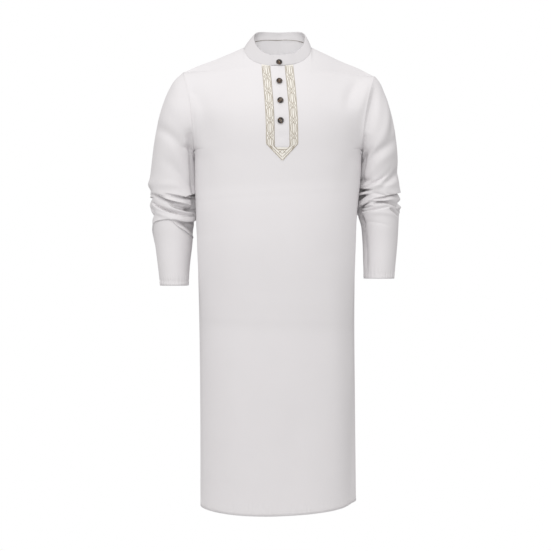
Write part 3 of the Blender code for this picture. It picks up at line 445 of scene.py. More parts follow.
# ---------------------------------------------------------------- mesh density
NECK_STEPS = 26
SHOULDER_STEPS = 34
ARMHOLE_STEPS = 92
BODY_STEPS = 140
BODY_CROWDING = 1.25
AROUND_STEPS = 200
CAP_STEPS = 52
ELBOW_STEPS = 150
FOREARM_STEPS = 26
ELBOW_TOP = -0.325
ELBOW_END = -0.497
FOLD_START_ROWS = 8          # a sleeve's creases grow over its first rings
ALLOWANCE_ROWS = 2           # of a sleeve, under the body's edge
ALLOWANCE_STEP = 0.0040
ALLOWANCE_IN = 0.0016
COLLAR_ROWS = 12
COLLAR_FRONT_STEPS = 20
COLLAR_BACK_STEPS = 34
COLLAR_END_STEPS = 10
STRIP_ROWS = 120
STRIP_COLUMNS = 14
TRIM_COLUMNS = 8             # across one band, and across the space between the bands
POINT_ROWS = 16
STRAND_STEPS = 230


# ---------------------------------------------------------------- curves through tables
def ease(part):
    """0 to 1 with no kink at either end."""
    part = np.clip(part, 0.0, 1.0)
    return part * part * (3 - 2 * part)


def unit(vectors):
    """Vectors made 1 long."""
    return vectors / np.maximum(np.linalg.norm(vectors, axis=-1, keepdims=True), 1e-12)


def course(table, columns, column, at):
    """One column of a table, on a smooth curve through its rows, at the given keys."""
    rows = np.array(table, dtype=float)
    order = np.argsort(rows[:, 0])
    keys = rows[order, 0]
    values = rows[order, columns.index(column)]
    slopes = np.gradient(values, keys)
    at = np.asarray(at, dtype=float)
    cell = np.clip(np.searchsorted(keys, at) - 1, 0, len(keys) - 2)
    span = keys[cell + 1] - keys[cell]
    part = np.clip((at - keys[cell]) / span, 0.0, 1.0)
    start = values[cell] * (1 + 2 * part) * (1 - part) ** 2
    end = values[cell + 1] * part ** 2 * (3 - 2 * part)
    leave = slopes[cell] * span * part * (1 - part) ** 2
    arrive = slopes[cell + 1] * span * part ** 2 * (part - 1)
    return start + end + leave + arrive


# ---------------------------------------------------------------- the body's surface
def body_course(column, height):
    return course(BODY_SECTIONS, BODY_COLUMNS, column, height)


def neck_reach(x, power):
    """1 at the middle of the neck and 0 at its sides and beyond, on a superellipse."""
    inside = np.clip(np.abs(x - NECK_X) / NECK_HALF, 0.0, 1.0)
    return (1 - inside ** power) ** (1 / power)


def shoulder_line(x):
    distance = np.abs(x - NECK_X)
    left = course(RIDGE_SECTIONS, RIDGE_COLUMNS, "left", distance)
    right = course(RIDGE_SECTIONS, RIDGE_COLUMNS, "right", distance)
    return np.where(x < NECK_X, left, right)


def ridge_height(x, back):
    """Height of the shoulder seam above x; inside the neck, where it would be."""
    outside = np.abs(x - NECK_X) >= NECK_HALF
    reach = neck_reach(x, NECK_BACK_POWER if back else NECK_FRONT_POWER)
    crest = (NECK_BACK_CREST if back else NECK_FRONT_CREST) * reach
    return np.where(outside, shoulder_line(x), crest)


def ridge_below(x, height, back):
    """The ridge that the cloth at this height hangs from: away from the neck seam its form
    fades into the shoulders' own lines."""
    ridge = ridge_height(x, back)
    spread = np.exp(-((x - NECK_X) / NECK_SPREAD) ** 2)
    wide = shoulder_line(x) + (NECK_BACK_SAG if back else NECK_FRONT_SAG) * spread
    return ridge + (wide - ridge) * ease((ridge - height) / NECK_BLEND)


def shoulder_height(side):
    return float(ridge_height(np.array(SHOULDER_X[side]), False))


def armhole_share(height, side):
    """0 at the shoulder point and above it, 1 at the armpit and below it."""
    top = shoulder_height(side)
    return np.clip((top - height) / (top - ARMPIT_HEIGHT), 0.0, 1.0)


def half_width(height, side):
    """Half width of the body: the side seam, and above the armpit the armhole's edge."""
    share = armhole_share(height, side)
    low = np.minimum(height, ARMPIT_HEIGHT)
    seam = body_course(side, low)
    shoulder = abs(SHOULDER_X[side])
    scoop = ARMHOLE_SCOOP * 4 * share * (1 - share)
    return np.where(height <= ARMPIT_HEIGHT, seam, shoulder + (seam - shoulder) * share - scoop)


def body_width(x, height):
    """Half width of the body on the side where x is."""
    return np.where(x < 0, half_width(height, "left"), half_width(height, "right"))


def side_line(height):
    """Y of the side seam, and above the armpit of the armhole's middle, which runs smoothly
    from the shoulder seam, at 0, into the side seam."""
    return SIDE_LINE * ease((ARMHOLE_TOP - height) / (ARMHOLE_TOP - ARMPIT_HEIGHT))


def body_depth(x, height, back):
    """Y of the body's outer surface at x and height, on the front or the back."""
    share = np.where(x < 0, armhole_share(height, "left"), armhole_share(height, "right"))
    across = np.clip(np.abs(x) / body_width(x, height), 0.0, 1.0)
    rounding = SHOULDER_ROUND_BACK if back else SHOULDER_ROUND_FRONT
    below = np.clip((ridge_below(x, height, back) - height) / rounding, 0.0, 1.0)
    full = body_course("back" if back else "front", height)
    full = full * np.clip(1 - (1 - below) ** 2, 0.0, 1.0) ** SHOULDER_ROUND_POWER
    edge = 2 * np.sqrt(share * (1 - share))
    away = ease((height - ARMPIT_HEIGHT + EDGE_BELOW) / EDGE_BLEND)
    away = np.where(share < 0.5, edge, away)
    edge = ARMHOLE_DEPTH * (away + (edge - away) * across ** EDGE_HOLD)
    power = 0.5 + 0.4 * ease((height - ARMPIT_HEIGHT + EDGE_BELOW) / CHEST_BLEND)
    crown = np.clip(1 - across ** SECTION_POWER, 0.0, 1.0) ** power
    depth = edge + (full - edge) * crown
    return side_line(height) + (depth if back else -depth)


def body_points(x, height, back):
    return np.stack([x, body_depth(x, height, back), height], axis=-1)


def front_normals(x, height):
    """Outward unit normals of the front, from small steps across and up."""
    step = 0.002
    across = body_points(x + step, height, False) - body_points(x - step, height, False)
    up = body_points(x, height + step, False) - body_points(x, height - step, False)
    return unit(np.cross(across, up))


def surface_place(x, height, lift):
    """A place on the front at x and height, lifted off the cloth, and its normal."""
    normals = front_normals(x, height)
    return body_points(x, height, False) + normals * lift, normals


def neck_height(x, back):
    """Height of the neck seam above x."""
    if back:
        return NECK_BACK_RISE * neck_reach(x, NECK_BACK_POWER)
    return -NECK_FRONT_DROP * neck_reach(x, NECK_FRONT_POWER)


def lean(height):
    return course(LEAN_SECTIONS, LEAN_COLUMNS, "x", height)


def hem_height(x):
    return HEM_HEIGHT + HEM_TILT * x + HEM_SWEEP * x ** 2


# ---------------------------------------------------------------- creases
def crease_shape(shape, distance, side, width):
    """Height of a crease's section, 1 at most, at a distance from its line; side is positive
    above the line."""
    if shape == "soft":
        return np.exp(-(distance / width) ** 2)
    if shape == "sharp":
        pointed, rounded = SHARP_SHARES
        return (pointed * np.exp(-distance / width)
                + rounded * np.exp(-(distance / width / ROUND_WIDTH) ** 2))
    over = 0.5 + 0.5 * np.tanh(side / LIP_STEP)
    if shape == "lip":
        above = np.exp(-(distance / width) ** 2)
        below = -LIP_TROUGH[0] * np.exp(-distance / (LIP_TROUGH[1] * width))
        return over * above + (1 - over) * below
    edge = TUCK_EDGE * np.exp(-(distance / width / ROUND_WIDTH) ** 2)
    if shape == "ledge":
        over = 1 - over
        edge = edge * LEDGE_EDGE
    return over * edge - (1 - over) * np.exp(-(distance / width) ** 2)


def crease_relief(across, heights, creases, reach=None):
    """How far the cloth stands out, and how far it hangs down, at each place. across is in
    metres, or in radians round a sleeve of the given reach."""
    relief = np.zeros_like(heights)
    hang = np.zeros_like(heights)
    part = np.linspace(0, 1, CREASE_STEPS)
    weights = (1 - part) * (1 - 2 * part), 4 * part * (1 - part), part * (2 * part - 1)
    for row in creases:
        crease = dict(zip(CREASE_COLUMNS, row))
        line = sum(w * crease[name] for w, name in zip(weights, ("start", "middle", "end")))
        line = np.radians(line) * reach if reach else line / 1000
        rise = sum(w * crease[name + "_height"] / 1000
                   for w, name in zip(weights, ("start", "middle", "end")))
        apart = (across * reach if reach else across)[..., None] - line
        if reach:
            whole = 2 * math.pi * reach
            apart = (apart + whole / 2) % whole - whole / 2
        over = heights[..., None] - rise
        away = apart ** 2 + over ** 2
        nearest = np.argmin(away, axis=-1)[..., None]
        apart = np.take_along_axis(apart, nearest, axis=-1)[..., 0]
        over = np.take_along_axis(over, nearest, axis=-1)[..., 0]
        nearest = nearest[..., 0]
        run_across = np.gradient(line)[nearest]
        run_up = np.gradient(rise)[nearest]
        run = np.hypot(run_across, run_up)
        side = (run_across * over - run_up * apart) / run * np.sign(line[-1] - line[0])
        along = (run_across * apart + run_up * over) / run
        past = np.where(nearest == 0, np.minimum(along, 0), 0)
        past = np.where(nearest == CREASE_STEPS - 1, np.maximum(along, 0), past)
        distance = np.hypot(side, past)
        place = np.clip(part[nearest] + along / run / (CREASE_STEPS - 1), 0, 1)
        strength = np.sin(math.pi * (0.06 + 0.88 * place)) ** 0.7
        height = crease["rise"] / 1000 * strength
        section = crease_shape(crease["shape"], distance, side, crease["width"] / 1000)
        relief += height * section
        if crease["shape"] in CREASE_HANG:
            hang += CREASE_HANG[crease["shape"]] * height * np.clip(section, 0, 1)
    return relief, hang


def grid_normals(points):
    """Outward unit normals of a grid of points whose columns run from left to right as seen
    from outside, and whose rows run up."""
    return unit(np.cross(np.gradient(points, axis=1), np.gradient(points, axis=0)))


# ---------------------------------------------------------------- body panels
def neck_turns(back, steps):
    """Turns round the neck where columns meet the neck seam, from the middle of the back or
    the placket's edge to the neck's side."""
    first = 0.0 if back else math.asin((SLOT_HALF / NECK_HALF) ** (NECK_FRONT_POWER / 2))
    return np.linspace(first, math.pi / 2, steps + 1)


def side_columns(side, back):
    """Where one half of a panel's columns meet the top edge and the armpits' level, from the
    middle outwards. The first column is the placket's edge, or the middle of the back."""
    sign = SIGN[side]
    power = NECK_BACK_POWER if back else NECK_FRONT_POWER
    neck_top = sign * NECK_X + NECK_HALF * np.sin(neck_turns(back, NECK_STEPS)) ** (2 / power)
    first_low = 0.0
    if not back:
        neck_top[0] = sign * float(lean(-NECK_FRONT_DROP)) + SLOT_HALF
        first_low = sign * float(lean(ARMPIT_HEIGHT)) + SLOT_HALF
    shoulder_top = np.linspace(neck_top[-1], abs(SHOULDER_X[side]), SHOULDER_STEPS + 1)[1:]
    top = np.concatenate([neck_top, shoulder_top])
    width = float(half_width(np.array(ARMPIT_HEIGHT), side))
    neck_low = np.linspace(first_low, NECK_HALF, NECK_STEPS + 1)
    start = math.asin(NECK_HALF / width)
    round_low = width * np.sin(np.linspace(start, math.pi / 2, SHOULDER_STEPS + 1)[1:])
    low = np.concatenate([neck_low, round_low])
    return sign * top, sign * low


def panel_points(back):
    """Rows of points of one body panel, from the hem up and from the left to the right."""
    left_top, left_low = side_columns("left", back)
    right_top, right_low = side_columns("right", back)
    if back:
        top_x = np.concatenate([left_top[::-1], right_top[1:]])
        low_x = np.concatenate([left_low[::-1], right_low[1:]])
    else:
        top_x = np.concatenate([left_top[::-1], [lean(-NECK_FRONT_DROP)], right_top])
        low_x = np.concatenate([left_low[::-1], [lean(ARMPIT_HEIGHT)], right_low])
    in_neck = np.abs(top_x - NECK_X) < NECK_HALF - 1e-6
    top_height = np.where(in_neck, neck_height(top_x, back), ridge_height(top_x, back))
    width = body_width(low_x, ARMPIT_HEIGHT)
    rows = []
    for step in range(BODY_STEPS):
        left_over = (1 - step / BODY_STEPS) ** BODY_CROWDING
        height = ARMPIT_HEIGHT + (hem_height(low_x) - ARMPIT_HEIGHT) * left_over
        rows.append(body_points(low_x * body_width(low_x, height) / width, height, back))
    edge_weight = (np.abs(low_x) / width) ** 6
    for step in range(ARMHOLE_STEPS + 1):
        climb = (1 - math.cos(math.pi * step / ARMHOLE_STEPS)) / 2
        height = ARMPIT_HEIGHT + (top_height - ARMPIT_HEIGHT) * climb
        x = low_x + (top_x - low_x) * climb
        x = x - np.sign(x) * edge_weight * ARMHOLE_SCOOP * 4 * climb * (1 - climb)
        rows.append(body_points(x, height, back))
    return np.array(rows)


def ditch(distance, width=DITCH_WIDTH):
    """The dent that a row of stitches pulls into cloth."""
    return -DITCH_DEPTH * np.exp(-(distance / width) ** 2)


def uneven_wave(across, pace, sway, sway_pace):
    """A wave along a seam whose spacing wanders."""
    return np.sin(across * pace + sway * np.sin(across * sway_pace))


def hem_relief(across, above, depth):
    """A turned hem: the stitches' ditch, a thicker edge under it and small puckers, which
    come every 12 to 15 mm."""
    pucker = 0.5 + 0.5 * uneven_wave(across, *HEM_PUCKERS)
    edge = HEM_SWELL * ease((depth - above) / HEM_SWELL_BLEND)
    pull = HEM_PULL * ditch(above - depth) * (0.6 + 0.9 * pucker)
    ripple = HEM_RIPPLE * uneven_wave(across, *HEM_RIPPLES)
    return edge + pull + ripple * np.exp(-((above - depth) / HEM_RIPPLE_REACH) ** 2)


def panel_relief(points, back):
    """Creases, which fade out at the side seams, at the armpits and around the trim, and the
    ditches of the armholes' seams and of the hem."""
    x, height = points[..., 0], points[..., 2]
    relief, _ = crease_relief(x, height, BODY_CREASES["back" if back else "front"])
    inside = body_width(x, height) - np.abs(x)
    still = ease(inside / SIDE_FADE)
    pit = np.exp(-((height - ARMPIT_HEIGHT) / PIT_FADE[1]) ** 2 - (inside / PIT_FADE[0]) ** 2)
    relief = relief * still * (1 - pit)
    above_pit = ease((height - ARMPIT_HEIGHT - ARMHOLE_DITCH_LOW[0]) / ARMHOLE_DITCH_LOW[1])
    relief = relief + ditch(inside - ARMHOLE_STITCH, ARMHOLE_DITCH) * above_pit
    relief = relief + hem_relief(x, height - hem_height(x), HEM_DEPTH)
    if not back:
        beside = np.abs(x - lean(height))
        near = ease((TRIM_FADE[0] - beside) / TRIM_FADE[1])
        near = near * ease((height - TRIM_TIP + TRIM_FADE_LOW[0]) / TRIM_FADE_LOW[1])
        relief = relief * (1 - near)
    return relief


@cache
def panel_surface(back):
    """A panel's points with no creases, its outward normals and its creased points."""
    points = panel_points(back)
    normals = grid_normals(points) * (-1 if back else 1)
    return points, normals, points + normals * panel_relief(points, back)[..., None]


# ---------------------------------------------------------------- sleeves
def sleeve_ring(side, outer_height, angles):
    """Points of one sleeve ring with no folds; angles in radians, 0 outside, pi/2 front."""
    def at(column):
        return float(course(SLEEVE_SECTIONS[side], SLEEVE_COLUMNS, column, outer_height))

    outer = np.array([at("outer_x"), at("outer_y"), outer_height])
    inner = np.array([at("inner_x"), at("inner_y"), at("inner_height")])
    share = (1 - np.cos(angles)) / 2
    ring = outer + (inner - outer) * share[:, None]
    ring[:, 1] -= at("depth") * np.sin(angles)
    stand = (outer[2] - inner[2]) / (shoulder_height(side) - ARMPIT_HEIGHT)
    upright = max(stand, 0.0) ** 4
    ring[:, 0] -= ARMHOLE_SCOOP * np.sin(angles) ** 2 * upright
    ring[:, 1] += SIDE_LINE * (ease(share) - share) * upright
    ring[:, 0] *= SIGN[side]
    return ring


def sleeve_heights(side):
    top = shoulder_height(side)
    end = SLEEVE_SECTIONS[side][0][0]
    cap = [top + (ELBOW_TOP - top) * (1 - math.cos(math.pi / 2 * k / CAP_STEPS))
           for k in range(CAP_STEPS)]
    elbow = list(np.linspace(ELBOW_TOP, ELBOW_END, ELBOW_STEPS + 1))
    forearm = list(np.linspace(ELBOW_END, end, FOREARM_STEPS + 1)[1:])
    return cap + elbow + forearm


def on_inside(turns, spread):
    """1 along the inside of a sleeve, fading out over a spread of radians to either side."""
    return np.exp(-((turns - math.pi) / spread) ** 2)


def beside_body(turns, height, spread, start, blend):
    """1 along the inside of a sleeve above a height, and 0 outside and below it."""
    return on_inside(turns, spread) * ease((height - start) / blend)


@cache
def sleeve_points(side):
    """Rings from the armhole to the sleeve end, with the creases in them; the first rings are
    tucked under the body's edge, as a seam allowance is."""
    angles = np.linspace(0, 2 * math.pi, AROUND_STEPS + 1)
    base = np.array([sleeve_ring(side, height, angles) for height in sleeve_heights(side)])
    turns = np.broadcast_to(angles, base.shape[:2])
    height = base[..., 2]
    relief, hang = crease_relief(turns, height, SLEEVE_CREASES[side], SLEEVE_REACH)
    beside = beside_body(turns, height, *INSIDE_FLAT)
    relief = np.where(relief > 0, relief * (1 - beside), relief)
    covered = beside_body(turns, height, *INSIDE_SHALLOW)
    relief = np.maximum(relief, CREASE_DEEPEST + (INNER_DEEPEST - CREASE_DEEPEST) * covered)
    under_arm = np.exp(-((height - ARMPIT_HEIGHT + TOUCH_DROP) / TOUCH_REACH) ** 2)
    relief = relief + TOUCH[side] * (on_inside(turns, TOUCH_SPREAD) * under_arm)
    start = ease((np.arange(len(base))[:, None] - 1) / FOLD_START_ROWS)
    middle = base[:, :-1].mean(axis=1, keepdims=True)
    cuff = hem_relief(turns * SLEEVE_REACH, height - SLEEVE_SECTIONS[side][0][0], CUFF_DEPTH)
    points = base + unit(base - middle) * (relief * start + cuff)[..., None]
    points[..., 2] -= hang * start
    inward = unit(middle[0, 0] - base[0])
    tucked = []
    for step in range(ALLOWANCE_ROWS, 0, -1):
        ring = base[0] + inward * ALLOWANCE_IN * min(step, 1.5)
        ring[:, 0] -= SIGN[side] * ALLOWANCE_STEP * step
        tucked.append(ring)
    return np.concatenate([np.array(tucked), points])


# ---------------------------------------------------------------- collar
def signed_power(value, power):
    return np.sign(value) * np.abs(value) ** power


def collar_turn(x):
    """Turn round the neck, in radians from the front middle, where the neck seam passes x."""
    return math.asin(signed_power((x - NECK_X) / NECK_HALF, NECK_FRONT_POWER / 2))


def collar_low(turns):
    """The neck seam: the collar's lower edge."""
    back = np.cos(turns) < 0
    power = np.where(back, 2 / NECK_BACK_POWER, 2 / NECK_FRONT_POWER)
    x = NECK_X + NECK_HALF * signed_power(np.sin(turns), power)
    height = np.where(back, neck_height(x, True), neck_height(x, False))
    depth = np.where(back, body_depth(x, height, True), body_depth(x, height, False))
    return np.stack([x, depth, height + COLLAR_LIFT], axis=-1)


def collar_high(turns):
    """The collar's upper edge: smaller than the neck seam, and tilted down to the front."""
    back = np.cos(turns) < 0
    reach = np.abs(np.cos(turns))
    x = COLLAR_TOP_X + COLLAR_TOP_HALF * signed_power(np.sin(turns), COLLAR_TOP_SQUARE)
    depth = np.where(back, COLLAR_TOP_BACK_Y * reach, COLLAR_TOP_FRONT_Y * reach)
    across = np.abs(x - COLLAR_TOP_X) / COLLAR_TOP_HALF
    crown = np.clip(1 - across ** COLLAR_BACK_ROUND, 0.0, 1.0) ** COLLAR_BACK_POWER
    rise = (COLLAR_TOP_BACK - COLLAR_TOP_SIDE) * crown
    drop = (COLLAR_TOP_FRONT - COLLAR_TOP_SIDE) * reach ** COLLAR_FRONT_FLAT
    return np.stack([x, depth, COLLAR_TOP_SIDE + np.where(back, rise, drop)], axis=-1)


def collar_ring(turns, share):
    """Points of the collar's outer surface, share 0 at the neck seam and 1 at the top."""
    low = collar_low(turns)
    high = collar_high(turns)
    out = np.stack([np.sin(turns), -np.cos(turns), np.zeros_like(turns)], axis=-1)
    return low + (high - low) * share + out * COLLAR_BOW * 4 * share * (1 - share)


def collar_normals(turns, share):
    step = 0.03
    across = collar_ring(turns + step, share) - collar_ring(turns - step, share)
    up = collar_ring(turns, share + step) - collar_ring(turns, share - step)
    return unit(np.cross(across, up))


def collar_lap(turns):
    """How far the over end stands out, so that it clears the under end."""
    start = collar_turn(COLLAR_LAP_START) - 2 * math.pi
    full = collar_turn(COLLAR_LAP_FULL) - 2 * math.pi
    return (BAND_WALL + COLLAR_LAP_GAP) * ease((start - turns) / (start - full))


def collar_columns():
    """Turns of the collar's columns, from the under end, round the back, to the over end."""
    full = 2 * math.pi
    front = neck_turns(False, COLLAR_FRONT_STEPS)
    back = neck_turns(True, COLLAR_BACK_STEPS)
    under_end = np.linspace(collar_turn(COLLAR_UNDER_END), 0, COLLAR_END_STEPS)[:-1]
    over_end = np.linspace(-full, collar_turn(COLLAR_OVER_END) - full, COLLAR_END_STEPS)
    return np.concatenate([under_end, -front, back[-2::-1] - math.pi, -math.pi - back[1:],
                           front[-2::-1] - full, over_end])


def collar_points():
    """Rows of points from the neck seam up, with the stitched edges dented in."""
    turns = collar_columns()
    rows = []
    for share in np.linspace(0, 1, COLLAR_ROWS + 1):
        dent = COLLAR_DITCH * ditch((share - COLLAR_STITCHES[1]) * COLLAR_WIDTH)
        lap = collar_lap(turns) + dent
        rows.append(collar_ring(turns, share) + lap[:, None] * collar_normals(turns, share))
    return np.array(rows)


# ---------------------------------------------------------------- placket and trim
def band_points(offsets, low_heights, top_drop, lift):
    """Points of a band on the front: columns at offsets from the placket's middle line, each
    from its own low height up to just under the neck seam, lifted off the cloth."""
    top_x = lean(-NECK_FRONT_DROP) + offsets
    top = neck_height(top_x, False) - top_drop
    rows = []
    for step in range(STRIP_ROWS + 1):
        height = low_heights + (top - low_heights) * step / STRIP_ROWS
        rows.append(surface_place(lean(height) + offsets, height, lift)[0])
    return np.array(rows)


def strip_points(lift, top_drop=STRIP_TOP_DROP):
    """Rows of points of the placket or its under strip, with its stitches' dents, a slight
    ripple down its middle and the dents of its buttons."""
    offsets = np.linspace(-PLACKET_HALF, PLACKET_HALF, STRIP_COLUMNS + 1)
    low = np.full(len(offsets), PLACKET_END - PLACKET_LAP)
    points = band_points(offsets, low, top_drop, lift)
    x = points[..., 0] - lean(points[..., 2])
    dent = ditch(np.abs(x) - PLACKET_HALF + EDGE_STITCH)
    ripple = PLACKET_RIPPLE * np.sin(points[..., 2] * PLACKET_RIPPLES)
    dent = dent + ripple * np.exp(-(x / PLACKET_RIPPLE_REACH) ** 2)
    for place, height in zip(BUTTON_X[1:], BUTTON_HEIGHTS[1:]):
        across = (points[..., 0] - place) / BUTTON_DENT_REACH[0]
        up = (points[..., 2] - height) / BUTTON_DENT_REACH[1]
        dent = dent - BUTTON_DENT * np.exp(-np.hypot(across, up) ** 2)
    points[..., 1] -= dent
    return points


def trim_points():
    """The trim's two bands and its pointed end in one grid; the middle columns above the
    pointed end are left open."""
    half = np.linspace(TRIM_INNER, TRIM_OUTER, TRIM_COLUMNS + 1)
    inner = np.linspace(-TRIM_INNER, TRIM_INNER, TRIM_COLUMNS + 1)[1:-1]
    offsets = np.concatenate([-half[::-1], inner, half])
    reach = np.clip((np.abs(offsets) - TRIM_INNER) / TRIM_WIDTH, 0.0, 1.0)
    low = TRIM_BAR + (TRIM_CORNER - TRIM_BAR) * reach
    lift = LAY_GAP + TRIM_WALL
    rows = []
    for share in np.linspace(0, 1, POINT_ROWS + 1)[:-1]:
        heights = TRIM_TIP + (low - TRIM_TIP) * share
        width = TRIM_TIP_HALF + (TRIM_OUTER - TRIM_TIP_HALF) * share
        rows.append(surface_place(lean(heights) + offsets * width / TRIM_OUTER, heights, lift)[0])
    return np.concatenate([np.array(rows), band_points(offsets, low, STRIP_TOP_DROP, lift)])


# ---------------------------------------------------------------- making meshes
def finished_mesh(name, bundle, sewn=False):
    """A smooth mesh from a bmesh, which is freed; sewn threads are closed first."""
    if sewn:
        bmesh.ops.remove_doubles(bundle, verts=bundle.verts, dist=1e-6)
        bmesh.ops.recalc_face_normals(bundle, faces=bundle.faces)
    mesh = bpy.data.meshes.new(name)
    bundle.to_mesh(mesh)
    bundle.free()
    mesh.shade_smooth()
    return mesh


def in_order(mesh):
    """The same mesh, with its vertices, its faces and each face's corners listed by where they
    lie. Spinning and cutting list them in an order that changes from run to run."""
    places = [tuple(round(part, 7) for part in vertex.co) for vertex in mesh.vertices]
    listed = bmesh.new()
    corners = {index: listed.verts.new(mesh.vertices[index].co)
               for index in sorted(range(len(places)), key=places.__getitem__)}
    rings = []
    for face in mesh.polygons:
        ring = list(face.vertices)
        first = ring.index(min(ring, key=places.__getitem__))
        rings.append(ring[first:] + ring[:first])
    for ring in sorted(rings, key=lambda ring: [places[index] for index in ring]):
        listed.faces.new([corners[index] for index in ring])
    return finished_mesh(mesh.name, listed)


def sheet_mesh(name, points, plan, tube=False, flip=False, skip=None):
    """A grid whose vertices are moved to the given rows of points. plan holds each vertex's
    place on the flat cloth, in metres, and becomes the UV map that the weave follows."""
    rows, columns = points.shape[:2]
    sheet = bmesh.new()
    bmesh.ops.create_grid(sheet, x_segments=columns - 1, y_segments=rows - 1, size=1.0)
    flat = sheet.loops.layers.uv.new("cloth")
    dropped = []
    for face in sheet.faces:
        places = [(round((v.co.y + 1) / 2 * (rows - 1)), round((v.co.x + 1) / 2 * (columns - 1)))
                  for v in face.verts]
        for loop, place in zip(face.loops, places):
            loop[flat].uv = plan[place]
        if skip and skip(*map(min, zip(*places))):
            dropped.append(face)
    for vertex in sheet.verts:
        row = round((vertex.co.y + 1) / 2 * (rows - 1))
        column = round((vertex.co.x + 1) / 2 * (columns - 1))
        vertex.co = points[row, column]
    bmesh.ops.delete(sheet, geom=dropped, context="FACES")
    if tube:
        bmesh.ops.remove_doubles(sheet, verts=sheet.verts, dist=1e-6)
    if flip:
        bmesh.ops.reverse_faces(sheet, faces=sheet.faces)
    return finished_mesh(name, sheet)


def walled(piece, wall, edge=0.0):
    """Gives a sheet its thickness, grown inwards, and rounds its cut edges."""
    shell = piece.modifiers.new("wall", "SOLIDIFY")
    shell.thickness = wall
    shell.offset = -1.0
    shell.use_even_offset = False
    if edge:
        soft = piece.modifiers.new("edge", "BEVEL")
        soft.width = edge
        soft.segments = 3
        soft.profile = 0.5
        soft.limit_method = "ANGLE"
        soft.angle_limit = math.radians(50)
    return piece


def add_piece(name, mesh, material, nodes=()):
    mesh.materials.clear()
    mesh.materials.append(material)
    piece = bpy.data.objects.new(name, mesh)
    bpy.context.scene.collection.objects.link(piece)
    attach(piece, "root")
    if nodes:
        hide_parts(*nodes)
    return piece


def run_lengths(points, axis):
    """Distance along each row or column of points, for a plan of the flat cloth."""
    steps = np.linalg.norm(np.diff(points, axis=axis), axis=-1)
    return np.concatenate([np.zeros_like(np.take(steps, [0], axis=axis)),
                           np.cumsum(steps, axis=axis)], axis=axis)


def make_body(cloth):
    def in_slot(row, column):
        middle = NECK_STEPS + SHOULDER_STEPS
        return row >= BODY_STEPS and column in (middle, middle + 1)

    pieces = []
    for name, back in (("front", False), ("back", True)):
        points, _, creased = panel_surface(back)
        plan = np.stack([points[..., 0], points[..., 2]], axis=-1)
        creased = np.concatenate([points[:, :1], creased[:, 1:-1], points[:, -1:]], axis=1)
        mesh = sheet_mesh("robe_" + name, creased, plan, flip=back, skip=None if back else in_slot)
        piece = add_piece("robe_" + name, mesh, cloth, [name])
        pieces.append(walled(piece, CLOTH_WALL))
    return pieces


def make_sleeves(cloth):
    pieces = []
    for side in ("left", "right"):
        points = sleeve_points(side)
        angles = np.linspace(0, 2 * math.pi, AROUND_STEPS + 1) * SLEEVE_REACH
        plan = np.stack([np.broadcast_to(angles, points.shape[:2]),
                         -run_lengths(points, 0)], axis=-1)
        mesh = sheet_mesh("robe_sleeve_" + side, points, plan, tube=True, flip=side == "left")
        piece = add_piece("robe_sleeve_" + side, mesh, cloth, ["sleeve_" + side])
        pieces.append(walled(piece, CLOTH_WALL))
    return pieces


def make_collar(cloth):
    points = collar_points()
    plan = np.stack([run_lengths(points, 1), run_lengths(points, 0)], axis=-1)
    mesh = sheet_mesh("robe_collar", points, plan, flip=True)
    return walled(add_piece("robe_collar", mesh, cloth, ["collar"]),
                  BAND_WALL, COLLAR_EDGE)


def make_placket(cloth):
    pieces = []
    for name, points in (("placket", strip_points(LAY_GAP + STRIP_WALL)),
                         ("placket_under", strip_points(-CLOTH_WALL, 0.0))):
        plan = np.stack([run_lengths(points, 1), points[..., 2]], axis=-1)
        mesh = sheet_mesh("robe_" + name, points, plan)
        piece = add_piece("robe_" + name, mesh, cloth, [name])
        pieces.append(walled(piece, STRIP_WALL, STRIP_EDGE))
    return pieces


def make_trim(material):
    def between_bands(row, column):
        return row >= POINT_ROWS and TRIM_COLUMNS <= column < 2 * TRIM_COLUMNS

    points = trim_points()
    plan = np.stack([points[..., 0], points[..., 2]], axis=-1)
    mesh = sheet_mesh("robe_trim", points, plan, skip=between_bands)
    piece = add_piece("robe_trim", mesh, material, ["embroidered_trim"])
    return walled(piece, TRIM_WALL, TRIM_EDGE)


# ---------------------------------------------------------------- embroidery
def thread_grid(bundle, path, normals, radius, sides=6):
    """Adds one sewn thread to a bmesh: a grid wrapped round a path, flattened on its cloth and
    thinner at its ends, where it goes into the cloth."""
    count = len(path)
    new = bmesh.ops.create_grid(bundle, x_segments=sides, y_segments=count - 1, size=1.0)
    across = unit(np.cross(unit(np.gradient(path, axis=0)), normals))
    for vertex in new["verts"]:
        row = round((vertex.co.y + 1) / 2 * (count - 1))
        turn = round((vertex.co.x + 1) / 2 * sides) / sides * 2 * math.pi
        taper = min(1.0, 0.35 + min(row, count - 1 - row) * 0.35)
        out = across[row] * math.cos(turn) + normals[row] * 0.75 * math.sin(turn)
        vertex.co = path[row] + out * radius * taper


def strand_offsets(strand, along):
    """Millimetres from the band's middle for a strand of the embroidery, eased between the
    places of its table."""
    place = (along / PATTERN_LENGTH) % 1.0
    keys = [key for key, _ in STRANDS[strand]]
    values = [value for _, value in STRANDS[strand]]
    cell = np.clip(np.searchsorted(keys, place, side="right") - 1, 0, len(keys) - 2)
    keys, values = np.array(keys), np.array(values)
    part = (place - keys[cell]) / (keys[cell + 1] - keys[cell])
    part = 0.5 * part + 0.5 * ease(part)
    return values[cell] + (values[cell + 1] - values[cell]) * part


